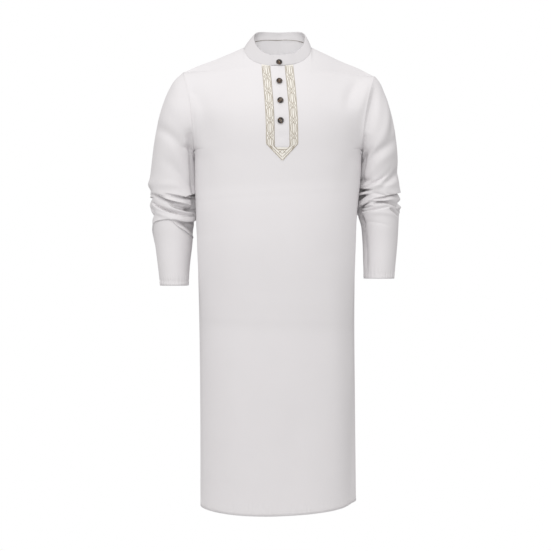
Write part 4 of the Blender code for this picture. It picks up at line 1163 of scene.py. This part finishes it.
def make_embroidery(thread):
    """Raised threads on the trim: each band has two straight border cords and four strands
    that part and cross, and the pointed end has bordered sides, a bar and a small lattice."""
    bundle = bmesh.new()
    lift = LAY_GAP + TRIM_WALL + THREAD_RADIUS * 0.3
    for side in (-1, 1):
        middle = side * (TRIM_INNER + TRIM_OUTER) / 2
        top = float(neck_height(np.array(lean(-NECK_FRONT_DROP) + middle), False))
        top = top - STRIP_TOP_DROP - STRAND_TOP_DROP
        for strand in STRANDS:
            for way in (-1, 1):
                reach = (way * side * STRANDS[strand][0][1] / 1000 + TRIM_WIDTH / 2) / TRIM_WIDTH
                low = TRIM_BAR + (TRIM_CORNER - TRIM_BAR) * reach + STRAND_LOW_GAP
                heights = np.linspace(top, low, STRAND_STEPS)
                offsets = middle + way * strand_offsets(strand, top - heights) / 1000
                path, normals = surface_place(lean(heights) + offsets, heights, lift)
                radius = THREAD_RADIUS * (1.1 if strand == "outer" else 0.9)
                thread_grid(bundle, path, normals, radius)
        for thickness, places in POINT_THREADS:
            across, up = np.array(places).T
            length = np.concatenate([[0], np.cumsum(np.hypot(np.diff(across), np.diff(up)))])
            steps = np.linspace(0, length[-1], max(8, int(length[-1] / POINT_THREAD_STEP)))
            across, up = np.interp(steps, length, across), np.interp(steps, length, up)
            path, normals = surface_place(lean(up) + side * across, up, lift)
            thread_grid(bundle, path, normals, THREAD_RADIUS * thickness)
    return add_piece("robe_embroidery", finished_mesh("robe_embroidery", bundle, sewn=True),
                     thread)


# ---------------------------------------------------------------- sewing
def stitch_blank():
    """One stitch: a short thread, thin at both ends where it enters the cloth."""
    blank = bmesh.new()
    bmesh.ops.create_uvsphere(blank, u_segments=6, v_segments=4, radius=1.0)
    bmesh.ops.scale(blank, vec=(STITCH_RADIUS, STITCH_RADIUS, STITCH_LENGTH / 2),
                    verts=blank.verts)
    return in_order(finished_mesh("stitch_blank", blank))


def sew(bundle, blank, path, normals):
    """Stitches at even spacing along a path, lying on the cloth."""
    length = np.concatenate([[0], np.cumsum(np.linalg.norm(np.diff(path, axis=0), axis=-1))])

    def at(place, values):
        return np.array([np.interp(place, length, values[:, axis]) for axis in range(3)])

    for place in np.arange(STITCH_SPACE / 2, length[-1], STITCH_SPACE):
        run = Vector(at(place + STITCH_AIM, path) - at(place - STITCH_AIM, path)).normalized()
        across = run.cross(Vector(at(place, normals)).normalized()).normalized()
        normal = across.cross(run).normalized()
        turn = Matrix((across, normal, run)).transposed().to_4x4()
        lift = normal * STITCH_RADIUS * 0.2
        move = Matrix.Translation(Vector(at(place, path)) + lift) @ turn
        blank.transform(move)
        bundle.from_mesh(blank)
        blank.transform(move.inverted())


def level_line(values, above, level):
    """The values of a grid where each column passes a level, by its rows' above."""
    found = []
    for column in range(values.shape[1]):
        rows = above[:, column]
        first = max(int(np.argmax(rows >= level)), 1)
        part = (level - rows[first - 1]) / (rows[first] - rows[first - 1])
        found.append(values[first - 1, column] * (1 - part) + values[first, column] * part)
    return np.array(found)


def make_sewing(thread):
    """The rows of white stitches: the hem's, the sleeve ends', the collar's and the
    placket's."""
    bundle = bmesh.new()
    blank = stitch_blank()
    for back in (False, True):
        points, normals, creased = panel_surface(back)
        above = points[..., 2] - hem_height(points[..., 0])
        sew(bundle, blank, *(level_line(v, above, HEM_DEPTH) for v in (creased, normals)))
    for side in ("left", "right"):
        points = sleeve_points(side)
        out = unit(points - points.mean(axis=1, keepdims=True))
        points, out = points[:-FOREARM_STEPS - 1:-1], out[:-FOREARM_STEPS - 1:-1]
        above = points[..., 2] - SLEEVE_SECTIONS[side][0][0]
        sew(bundle, blank, *(level_line(v, above, CUFF_DEPTH) for v in (points, out)))
    turns = collar_columns()
    for share, dent in zip(COLLAR_STITCHES, (0.0, COLLAR_DITCH * ditch(0.0))):
        normals = collar_normals(turns, share)
        lap = (collar_lap(turns) + dent)[:, None]
        sew(bundle, blank, collar_ring(turns, share) + lap * normals, normals)
    lift = LAY_GAP + STRIP_WALL - DITCH_DEPTH
    for side in (-1, 1):
        heights = np.linspace(-0.066, PLACKET_END, 90)
        x = lean(heights) + side * (PLACKET_HALF - EDGE_STITCH)
        sew(bundle, blank, *surface_place(x, heights, lift))
    x = lean(np.array(PLACKET_END)) + np.linspace(-PLACKET_HALF, PLACKET_HALF, 20)[2:-2]
    sew(bundle, blank, *surface_place(x, np.full(len(x), PLACKET_END), lift + DITCH_DEPTH))
    bpy.data.meshes.remove(blank)
    return add_piece("robe_sewing", finished_mesh("robe_sewing", bundle), thread)


def make_neck_shadow_thread(thread):
    """A dark thread along the neck seam, on the inside of the back, as painted shadow: it stands
    in for the shade under the collar's folded lower edge.
    """
    turns = np.linspace(-math.pi - NECK_SHADOW_THREAD_REACH, -math.pi + NECK_SHADOW_THREAD_REACH, 160)
    normals = collar_normals(turns, 0.0)
    path = collar_ring(turns, 0.0) - normals * (BAND_WALL + NECK_SHADOW_THREAD_RADIUS * 0.4)
    bundle = bmesh.new()
    thread_grid(bundle, path, normals, NECK_SHADOW_THREAD_RADIUS)
    return add_piece("robe_neck_shadow_thread", finished_mesh("robe_neck_shadow_thread", bundle, sewn=True),
                     thread)


# ---------------------------------------------------------------- buttons
BUTTON_PROFILE = (           # radius and height, from the middle of the back to the face
    (0.0, 0.0),
    (0.0056, 0.0),
    (0.0068, 0.0003),
    (BUTTON_RADIUS, 0.0011),
    (BUTTON_RADIUS, 0.0019),
    (0.0071, 0.0027),
    (0.0065, BUTTON_THICK),
    (0.0059, 0.0029),
    (0.0052, 0.0023),
    (0.0046, 0.0020),
    (0.0, 0.0019),
)
HOLE_SPREAD = 0.0016
HOLE_RADIUS = 0.0008
BAR_THREAD_RADIUS = 0.00033  # the bars of thread on a button, two strands each
BAR_LIFTS = (0.0, 0.0003)
BAR_HEIGHT = 0.0021
BAR_ARCH = 0.0007
BAR_END_HEIGHT = 0.0012
SHANK_RADII = (0.0019, 0.0017)
SHANK_LENGTH = 0.0018
SHANK_HEIGHT = -0.0004


def button_mesh():
    """A turned disc with a raised rim, a dished face and four sewing holes."""
    turned = bmesh.new()
    profile = [turned.verts.new((radius, 0.0, height)) for radius, height in BUTTON_PROFILE]
    edges = [turned.edges.new(pair) for pair in zip(profile[:-1], profile[1:])]
    bmesh.ops.spin(turned, geom=profile + edges, cent=(0, 0, 0), axis=(0, 0, 1),
                   angle=2 * math.pi, steps=48, use_merge=True, use_duplicate=False)
    bmesh.ops.remove_doubles(turned, verts=turned.verts, dist=1e-6)
    bmesh.ops.recalc_face_normals(turned, faces=turned.faces)
    drills = bmesh.new()
    for across in (-1, 1):
        for up in (-1, 1):
            place = Matrix.Translation((across * HOLE_SPREAD, up * HOLE_SPREAD, 0.0015))
            bmesh.ops.create_cone(drills, cap_ends=True, segments=16, radius1=HOLE_RADIUS,
                                  radius2=HOLE_RADIUS, depth=0.009, matrix=place)
    blank = bpy.data.objects.new("button_blank", finished_mesh("button_blank", turned))
    cutter = bpy.data.objects.new("button_drills", finished_mesh("button_drills", drills))
    for part in (blank, cutter):
        bpy.context.scene.collection.objects.link(part)
    cut = blank.modifiers.new("holes", "BOOLEAN")
    cut.object = cutter
    cut.operation = "DIFFERENCE"
    cut.solver = "EXACT"
    view = bpy.context.evaluated_depsgraph_get()
    finished = in_order(bpy.data.meshes.new_from_object(blank.evaluated_get(view)))
    for part in (blank, cutter):
        bpy.data.objects.remove(part)
    finished.set_sharp_from_angle(angle=math.radians(40))
    return finished


def thread_mesh():
    """The thread of a button: two bars of strands on its face and a shank under it."""
    bundle = bmesh.new()
    part = np.linspace(0, 1, 12)
    for way in (-1, 1):
        for lift in BAR_LIFTS:
            across = HOLE_SPREAD * (2 * part - 1)
            arch = BAR_HEIGHT + BAR_ARCH * np.sin(math.pi * part) + lift
            beside = np.full(len(part), way * HOLE_SPREAD + 2 * lift)
            path = np.stack([across, beside, arch], axis=-1)
            path[0, 2] = path[-1, 2] = BAR_END_HEIGHT
            up = np.tile((0.0, 0.0, 1.0), (len(part), 1))
            thread_grid(bundle, path, up, BAR_THREAD_RADIUS)
    bmesh.ops.create_cone(bundle, cap_ends=True, segments=14, radius1=SHANK_RADII[0],
                          radius2=SHANK_RADII[1], depth=SHANK_LENGTH,
                          matrix=Matrix.Translation((0, 0, SHANK_HEIGHT)))
    return finished_mesh("button_thread", bundle)


def button_places():
    """A matrix for each button, from its own frame to its place on the robe, with the small
    turn it was sewn on at."""
    places = []
    for number, (x, height) in enumerate(zip(BUTTON_X, BUTTON_HEIGHTS)):
        if number == 0:
            turns = np.array([collar_turn(x) - 2 * math.pi])
            normal = Vector(collar_normals(turns, BUTTON_COLLAR_SHARE)[0])
            point = Vector(collar_ring(turns, BUTTON_COLLAR_SHARE)[0])
            point = point + normal * float(collar_lap(turns)[0])
        else:
            place = np.array([x]), np.array([height])
            normal = Vector(front_normals(*place)[0])
            point = Vector(body_points(*place, False)[0]) + normal * (LAY_GAP + STRIP_WALL)
        side = Vector((1, 0, 0))
        up = normal.cross(side).normalized()
        side = up.cross(normal).normalized()
        frame_turn = Matrix((side, up, normal)).transposed().to_4x4()
        sewn_turn = Matrix.Rotation(math.radians(BUTTON_TURNS[number]), 4, "Z")
        places.append(Matrix.Translation(point + normal * BUTTON_STAND) @ frame_turn @ sewn_turn)
    return places


def make_buttons(resin, thread):
    disc = button_mesh()
    strands = thread_mesh()
    for number, place in enumerate(button_places(), start=1):
        for name, shape, material, slot, nodes in (
                ("robe_button_", disc, resin, "tortoiseshell", ["button_" + str(number)]),
                ("robe_button_thread_", strands, thread, "white_cloth", ())):
            mesh = shape.copy()
            mesh.transform(place)
            add_piece(name + str(number), mesh, material, nodes)


# ---------------------------------------------------------------- materials
def colour(hex_value):
    """An sRGB hex colour as linear numbers."""
    parts = [int(hex_value[k:k + 2], 16) / 255 for k in (1, 3, 5)]
    linear = [p / 12.92 if p <= 0.04045 else ((p + 0.055) / 1.055) ** 2.4 for p in parts]
    return (*linear, 1.0)


def add_node(owner, kind, settings=(), inputs=()):
    """A node of a kind, in a material or world, with its settings, and its inputs as values or
    other nodes' sockets."""
    tree = owner.node_tree
    node = tree.nodes.new(kind)
    for name, value in dict(settings).items():
        setattr(node, name, value)
    for name, value in dict(inputs).items():
        if isinstance(value, bpy.types.NodeSocket):
            tree.links.new(value, node.inputs[name])
        else:
            node.inputs[name].default_value = value
    return node


def new_material(name, roughness, **sockets):
    material = bpy.data.materials.new(name)
    material.use_nodes = True
    shader = material.node_tree.nodes["Principled BSDF"]
    shader.inputs["Roughness"].default_value = roughness
    for socket, value in sockets.items():
        shader.inputs[socket.replace("_", " ")].default_value = value
    return material, shader


def tinted(material, low, high, factor):
    """A colour between two, by a factor socket."""
    return add_node(material, "ShaderNodeMix", {"data_type": "RGBA"},
                    {0: factor, 6: colour(low), 7: colour(high)}).outputs[2]


def shirting(name, low, high):
    """Cotton and polyester shirting, plain woven and pressed: matt and even, with a soft bloom
    at grazing angles from its fibres, and faint uneven yarns."""
    material, shader = new_material(name, 0.86, Sheen_Weight=0.18, Sheen_Roughness=0.45,
                                    Specular_IOR_Level=0.28)
    links = material.node_tree.links
    place = add_node(material, "ShaderNodeUVMap", {"uv_map": "cloth"})
    solid = add_node(material, "ShaderNodeTexCoord")
    mottle = add_node(material, "ShaderNodeTexNoise", (),
                      {"Vector": solid.outputs["Object"], "Scale": 14.0, "Detail": 3.0})
    slub_place = add_node(material, "ShaderNodeMapping", (),
                          {"Vector": place.outputs["UV"], "Scale": (900.0, 40.0, 1.0)})
    slub = add_node(material, "ShaderNodeTexNoise", (),
                    {"Vector": slub_place.outputs["Vector"], "Scale": 1.0, "Detail": 2.0})
    both = add_node(material, "ShaderNodeMix", {"data_type": "FLOAT"},
                    {0: 0.35, 2: mottle.outputs["Fac"], 3: slub.outputs["Fac"]})
    links.new(tinted(material, low, high, both.outputs[0]), shader.inputs["Base Color"])
    # The real yarns lie 0.25 mm apart; they are drawn 0.9 mm apart, so that they show.
    waves = []
    for direction in ("X", "Y"):
        wave = add_node(material, "ShaderNodeTexWave",
                        {"wave_type": "BANDS", "bands_direction": direction},
                        {"Vector": place.outputs["UV"], "Scale": 350.0, "Distortion": 0.6,
                         "Detail": 1.0})
        waves.append(wave.outputs["Fac"])
    weave = add_node(material, "ShaderNodeMath", {"operation": "MULTIPLY"},
                     {0: waves[0], 1: waves[1]})
    yarns = add_node(material, "ShaderNodeBump", (),
                     {"Strength": 0.10, "Distance": 0.0002, "Height": weave.outputs[0]})
    relax = add_node(material, "ShaderNodeTexNoise", (),
                     {"Vector": solid.outputs["Object"], "Scale": 26.0, "Detail": 2.0})
    hand = add_node(material, "ShaderNodeBump", (),
                    {"Strength": 0.20, "Distance": 0.0012, "Height": relax.outputs["Fac"],
                     "Normal": yarns.outputs["Normal"]})
    links.new(hand.outputs["Normal"], shader.inputs["Normal"])
    return material


def banded(material, shader, low, high, direction, scale, distortion=0.0, ridge=0.0):
    """Fine bands of two colours through a material, as painted light on ridges and painted shade
    between them, and bumped ridges where ridge isn't 0.
    """
    solid = add_node(material, "ShaderNodeTexCoord")
    bands = add_node(material, "ShaderNodeTexWave",
                     {"wave_type": "BANDS", "bands_direction": direction},
                     {"Vector": solid.outputs["Object"], "Scale": scale,
                      "Distortion": distortion}).outputs["Fac"]
    links = material.node_tree.links
    links.new(tinted(material, low, high, bands), shader.inputs["Base Color"])
    if ridge:
        bump = add_node(material, "ShaderNodeBump", (),
                        {"Strength": ridge, "Distance": 0.0002, "Height": bands})
        links.new(bump.outputs["Normal"], shader.inputs["Normal"])
    return material


def embroidery_ground():
    """Cream rayon tape under the embroidery: a smooth satin with fine bumped cross ribs, painted
    faintly lighter on top and darker between, as painted light and shade.
    """
    tape = new_material("cream_satin_tape", 0.62, Sheen_Weight=0.2, Sheen_Roughness=0.4)
    return banded(*tape, "#EFECE3", "#F7F4EC", "Z", 380.0, 0.8, 0.35)


def embroidery_thread():
    """Beige-gold rayon embroidery thread, twisted: silky, its bumped plies painted lighter on top
    and darker between, as painted light and shade.
    """
    rayon = new_material("beige_gold_rayon_thread", 0.48, Sheen_Weight=0.3,
                         Sheen_Roughness=0.35)
    return banded(*rayon, "#8F836E", "#B2A590", "DIAGONAL", 420.0, 0.4, 0.5)


def sewing_thread(name, low, high):
    """Spun polyester sewing thread: matt, with painted shade in stripes between its twisted plies.
    """
    return banded(*new_material(name, 0.75, Sheen_Weight=0.15), low, high, "DIAGONAL", 700.0)


def tortoiseshell():
    """Cast polyester resin in tortoiseshell colours, tumbled to a gloss: dark brown with
    clouded amber patches under a clear shine."""
    material, shader = new_material("tortoiseshell_resin", 0.28, IOR=1.52, Coat_Weight=0.2,
                                    Coat_Roughness=0.10)
    links = material.node_tree.links
    solid = add_node(material, "ShaderNodeTexCoord")
    stretch = add_node(material, "ShaderNodeMapping", (),
                       {"Vector": solid.outputs["Object"], "Scale": (160.0, 160.0, 90.0),
                        "Rotation": (0.0, 0.7, 0.0)})
    clouds = add_node(material, "ShaderNodeTexNoise", (),
                      {"Vector": stretch.outputs["Vector"], "Scale": 1.0, "Detail": 4.0,
                       "Distortion": 0.9})
    ramp = add_node(material, "ShaderNodeValToRGB", (), {"Fac": clouds.outputs["Fac"]})
    for stop, position, shade in zip(ramp.color_ramp.elements, (0.50, 0.74),
                                     ("#1E140E", "#7E5F43")):
        stop.position = position
        stop.color = colour(shade)
    links.new(ramp.outputs["Color"], shader.inputs["Base Color"])
    return material


def floor_paint():
    """Matt studio floor paint, rolled on: pale, and faintly uneven from the roller."""
    material, shader = new_material("pale_floor_paint", 0.8)
    solid = add_node(material, "ShaderNodeTexCoord")
    roller = add_node(material, "ShaderNodeTexNoise", (),
                      {"Vector": solid.outputs["Object"], "Scale": 30.0, "Detail": 2.0})
    material.node_tree.links.new(tinted(material, "#ECECEC", "#F2F2F2", roller.outputs["Fac"]),
                                 shader.inputs["Base Color"])
    return material


# ---------------------------------------------------------------- studio
CAMERA_DISTANCE = 3.0
VIEW_WIDTH = 1.394           # what the camera sees across, at the robe's plane
VIEW_SHIFT = -15.5 / 551     # of the view's width
SENSOR_WIDTH = 36.0
CAMERA_X = -0.0076
CAMERA_HEIGHT = -0.5376
FLOOR_RADIUS = 0.62
FLOOR_HEIGHT = -1.45
ROOM_LIGHT = 0.58                  # the white room's own light, and how much it grows along
ROOM_LEAN = (-0.05, -0.19, 0.34)   # X, Y and Z: most to the front and the top
LIGHTS = (                   # place, aim, diameter, power in watts and spread in degrees
    ("key_light", (-0.20, -1.6, 0.55), (0.0, 0.0, -0.45), 1.4, 9.4, 180),
    ("neck_light", (0.0, -0.024, -0.095), (0.0, 0.070, 0.015), 0.06, 0.040, 130),
)


def make_camera():
    lens = bpy.data.cameras.new("studio_camera")
    lens.sensor_width = SENSOR_WIDTH
    lens.lens = SENSOR_WIDTH * CAMERA_DISTANCE / VIEW_WIDTH
    lens.shift_y = VIEW_SHIFT
    camera = bpy.data.objects.new("studio_camera", lens)
    camera.location = (CAMERA_X, -CAMERA_DISTANCE, CAMERA_HEIGHT)
    camera.rotation_euler = (math.radians(90), 0, 0)
    bpy.context.scene.collection.objects.link(camera)
    bpy.context.scene.camera = camera


def make_light(name, place, aim, size, power, spread):
    """A round lamp that shines from a place to an aim; spread is in degrees."""
    lamp = bpy.data.lights.new(name, "AREA")
    lamp.shape = "DISK"
    lamp.size = size
    lamp.energy = power
    lamp.spread = math.radians(spread)
    light = bpy.data.objects.new(name, lamp)
    light.location = place
    light.rotation_euler = (Vector(aim) - Vector(place)).to_track_quat("-Z", "Y").to_euler()
    light.visible_camera = False
    bpy.context.scene.collection.objects.link(light)


def make_studio():
    """A pale floor, one large soft light in front, above the camera, a small one inside the
    chest that shines up into the neck, and a white room that lights the robe from everywhere,
    but most from the front and the top."""
    sweep = bmesh.new()
    bmesh.ops.create_circle(sweep, cap_ends=True, segments=96, radius=FLOOR_RADIUS)
    bmesh.ops.translate(sweep, verts=sweep.verts, vec=(0, 0, FLOOR_HEIGHT))
    mesh = bpy.data.meshes.new("studio_floor")
    sweep.to_mesh(mesh)
    sweep.free()
    mesh.materials.append(floor_paint())
    floor = bpy.data.objects.new("studio_floor", mesh)
    bpy.context.scene.collection.objects.link(floor)
    for row in LIGHTS:
        make_light(*row)
    room = bpy.data.worlds.new("white_room")
    bpy.context.scene.world = room
    room.use_nodes = True
    room.node_tree.nodes.clear()
    compass = add_node(room, "ShaderNodeTexCoord")
    leaning = add_node(room, "ShaderNodeVectorMath", {"operation": "DOT_PRODUCT"},
                       {0: compass.outputs["Generated"], 1: ROOM_LEAN})
    glow = add_node(room, "ShaderNodeMath", {"operation": "ADD"},
                    {0: leaning.outputs["Value"], 1: ROOM_LIGHT})
    lit = add_node(room, "ShaderNodeBackground", (),
                   {"Color": colour("#FFFDFD"), "Strength": glow.outputs["Value"]})
    plain = add_node(room, "ShaderNodeBackground", (),
                     {"Color": colour("#FFFFFF"), "Strength": 1.0})
    seen = add_node(room, "ShaderNodeLightPath")
    mix = add_node(room, "ShaderNodeMixShader", (),
                   {0: seen.outputs["Is Camera Ray"], 1: lit.outputs[0], 2: plain.outputs[0]})
    add_node(room, "ShaderNodeOutputWorld", (), {"Surface": mix.outputs[0]})
    bpy.context.scene.view_settings.view_transform = "Standard"


# ---------------------------------------------------------------- the robe
def main():
    cloth = shirting("white_cotton_shirting", "#E7E5E6", "#EBE9EA")
    # The collar is cut from the same white shirting as the rest; its darker copy is painted shade.
    shaded_band_cloth = shirting("white_shirting_painted_shade", "#D9D7D8", "#DEDCDD")
    front, back = make_body(cloth)
    left, right = make_sleeves(cloth)
    collar = make_collar(shaded_band_cloth)
    over, under = make_placket(cloth)
    trim = make_trim(embroidery_ground())
    embroidery = make_embroidery(embroidery_thread())
    make_sewing(sewing_thread("white_sewing_thread", "#DAD9D8", "#ECEBEA"))
    # a dark thread, thicker than a real one, paints the shadow along the inside of the neck seam
    make_neck_shadow_thread(sewing_thread("neck_shadow_sewing_thread", "#6E645A", "#8C8176"))
    make_buttons(tortoiseshell(), sewing_thread("brown_sewing_thread", "#9C8468", "#C6AE90"))


make_camera()
make_studio()
main()
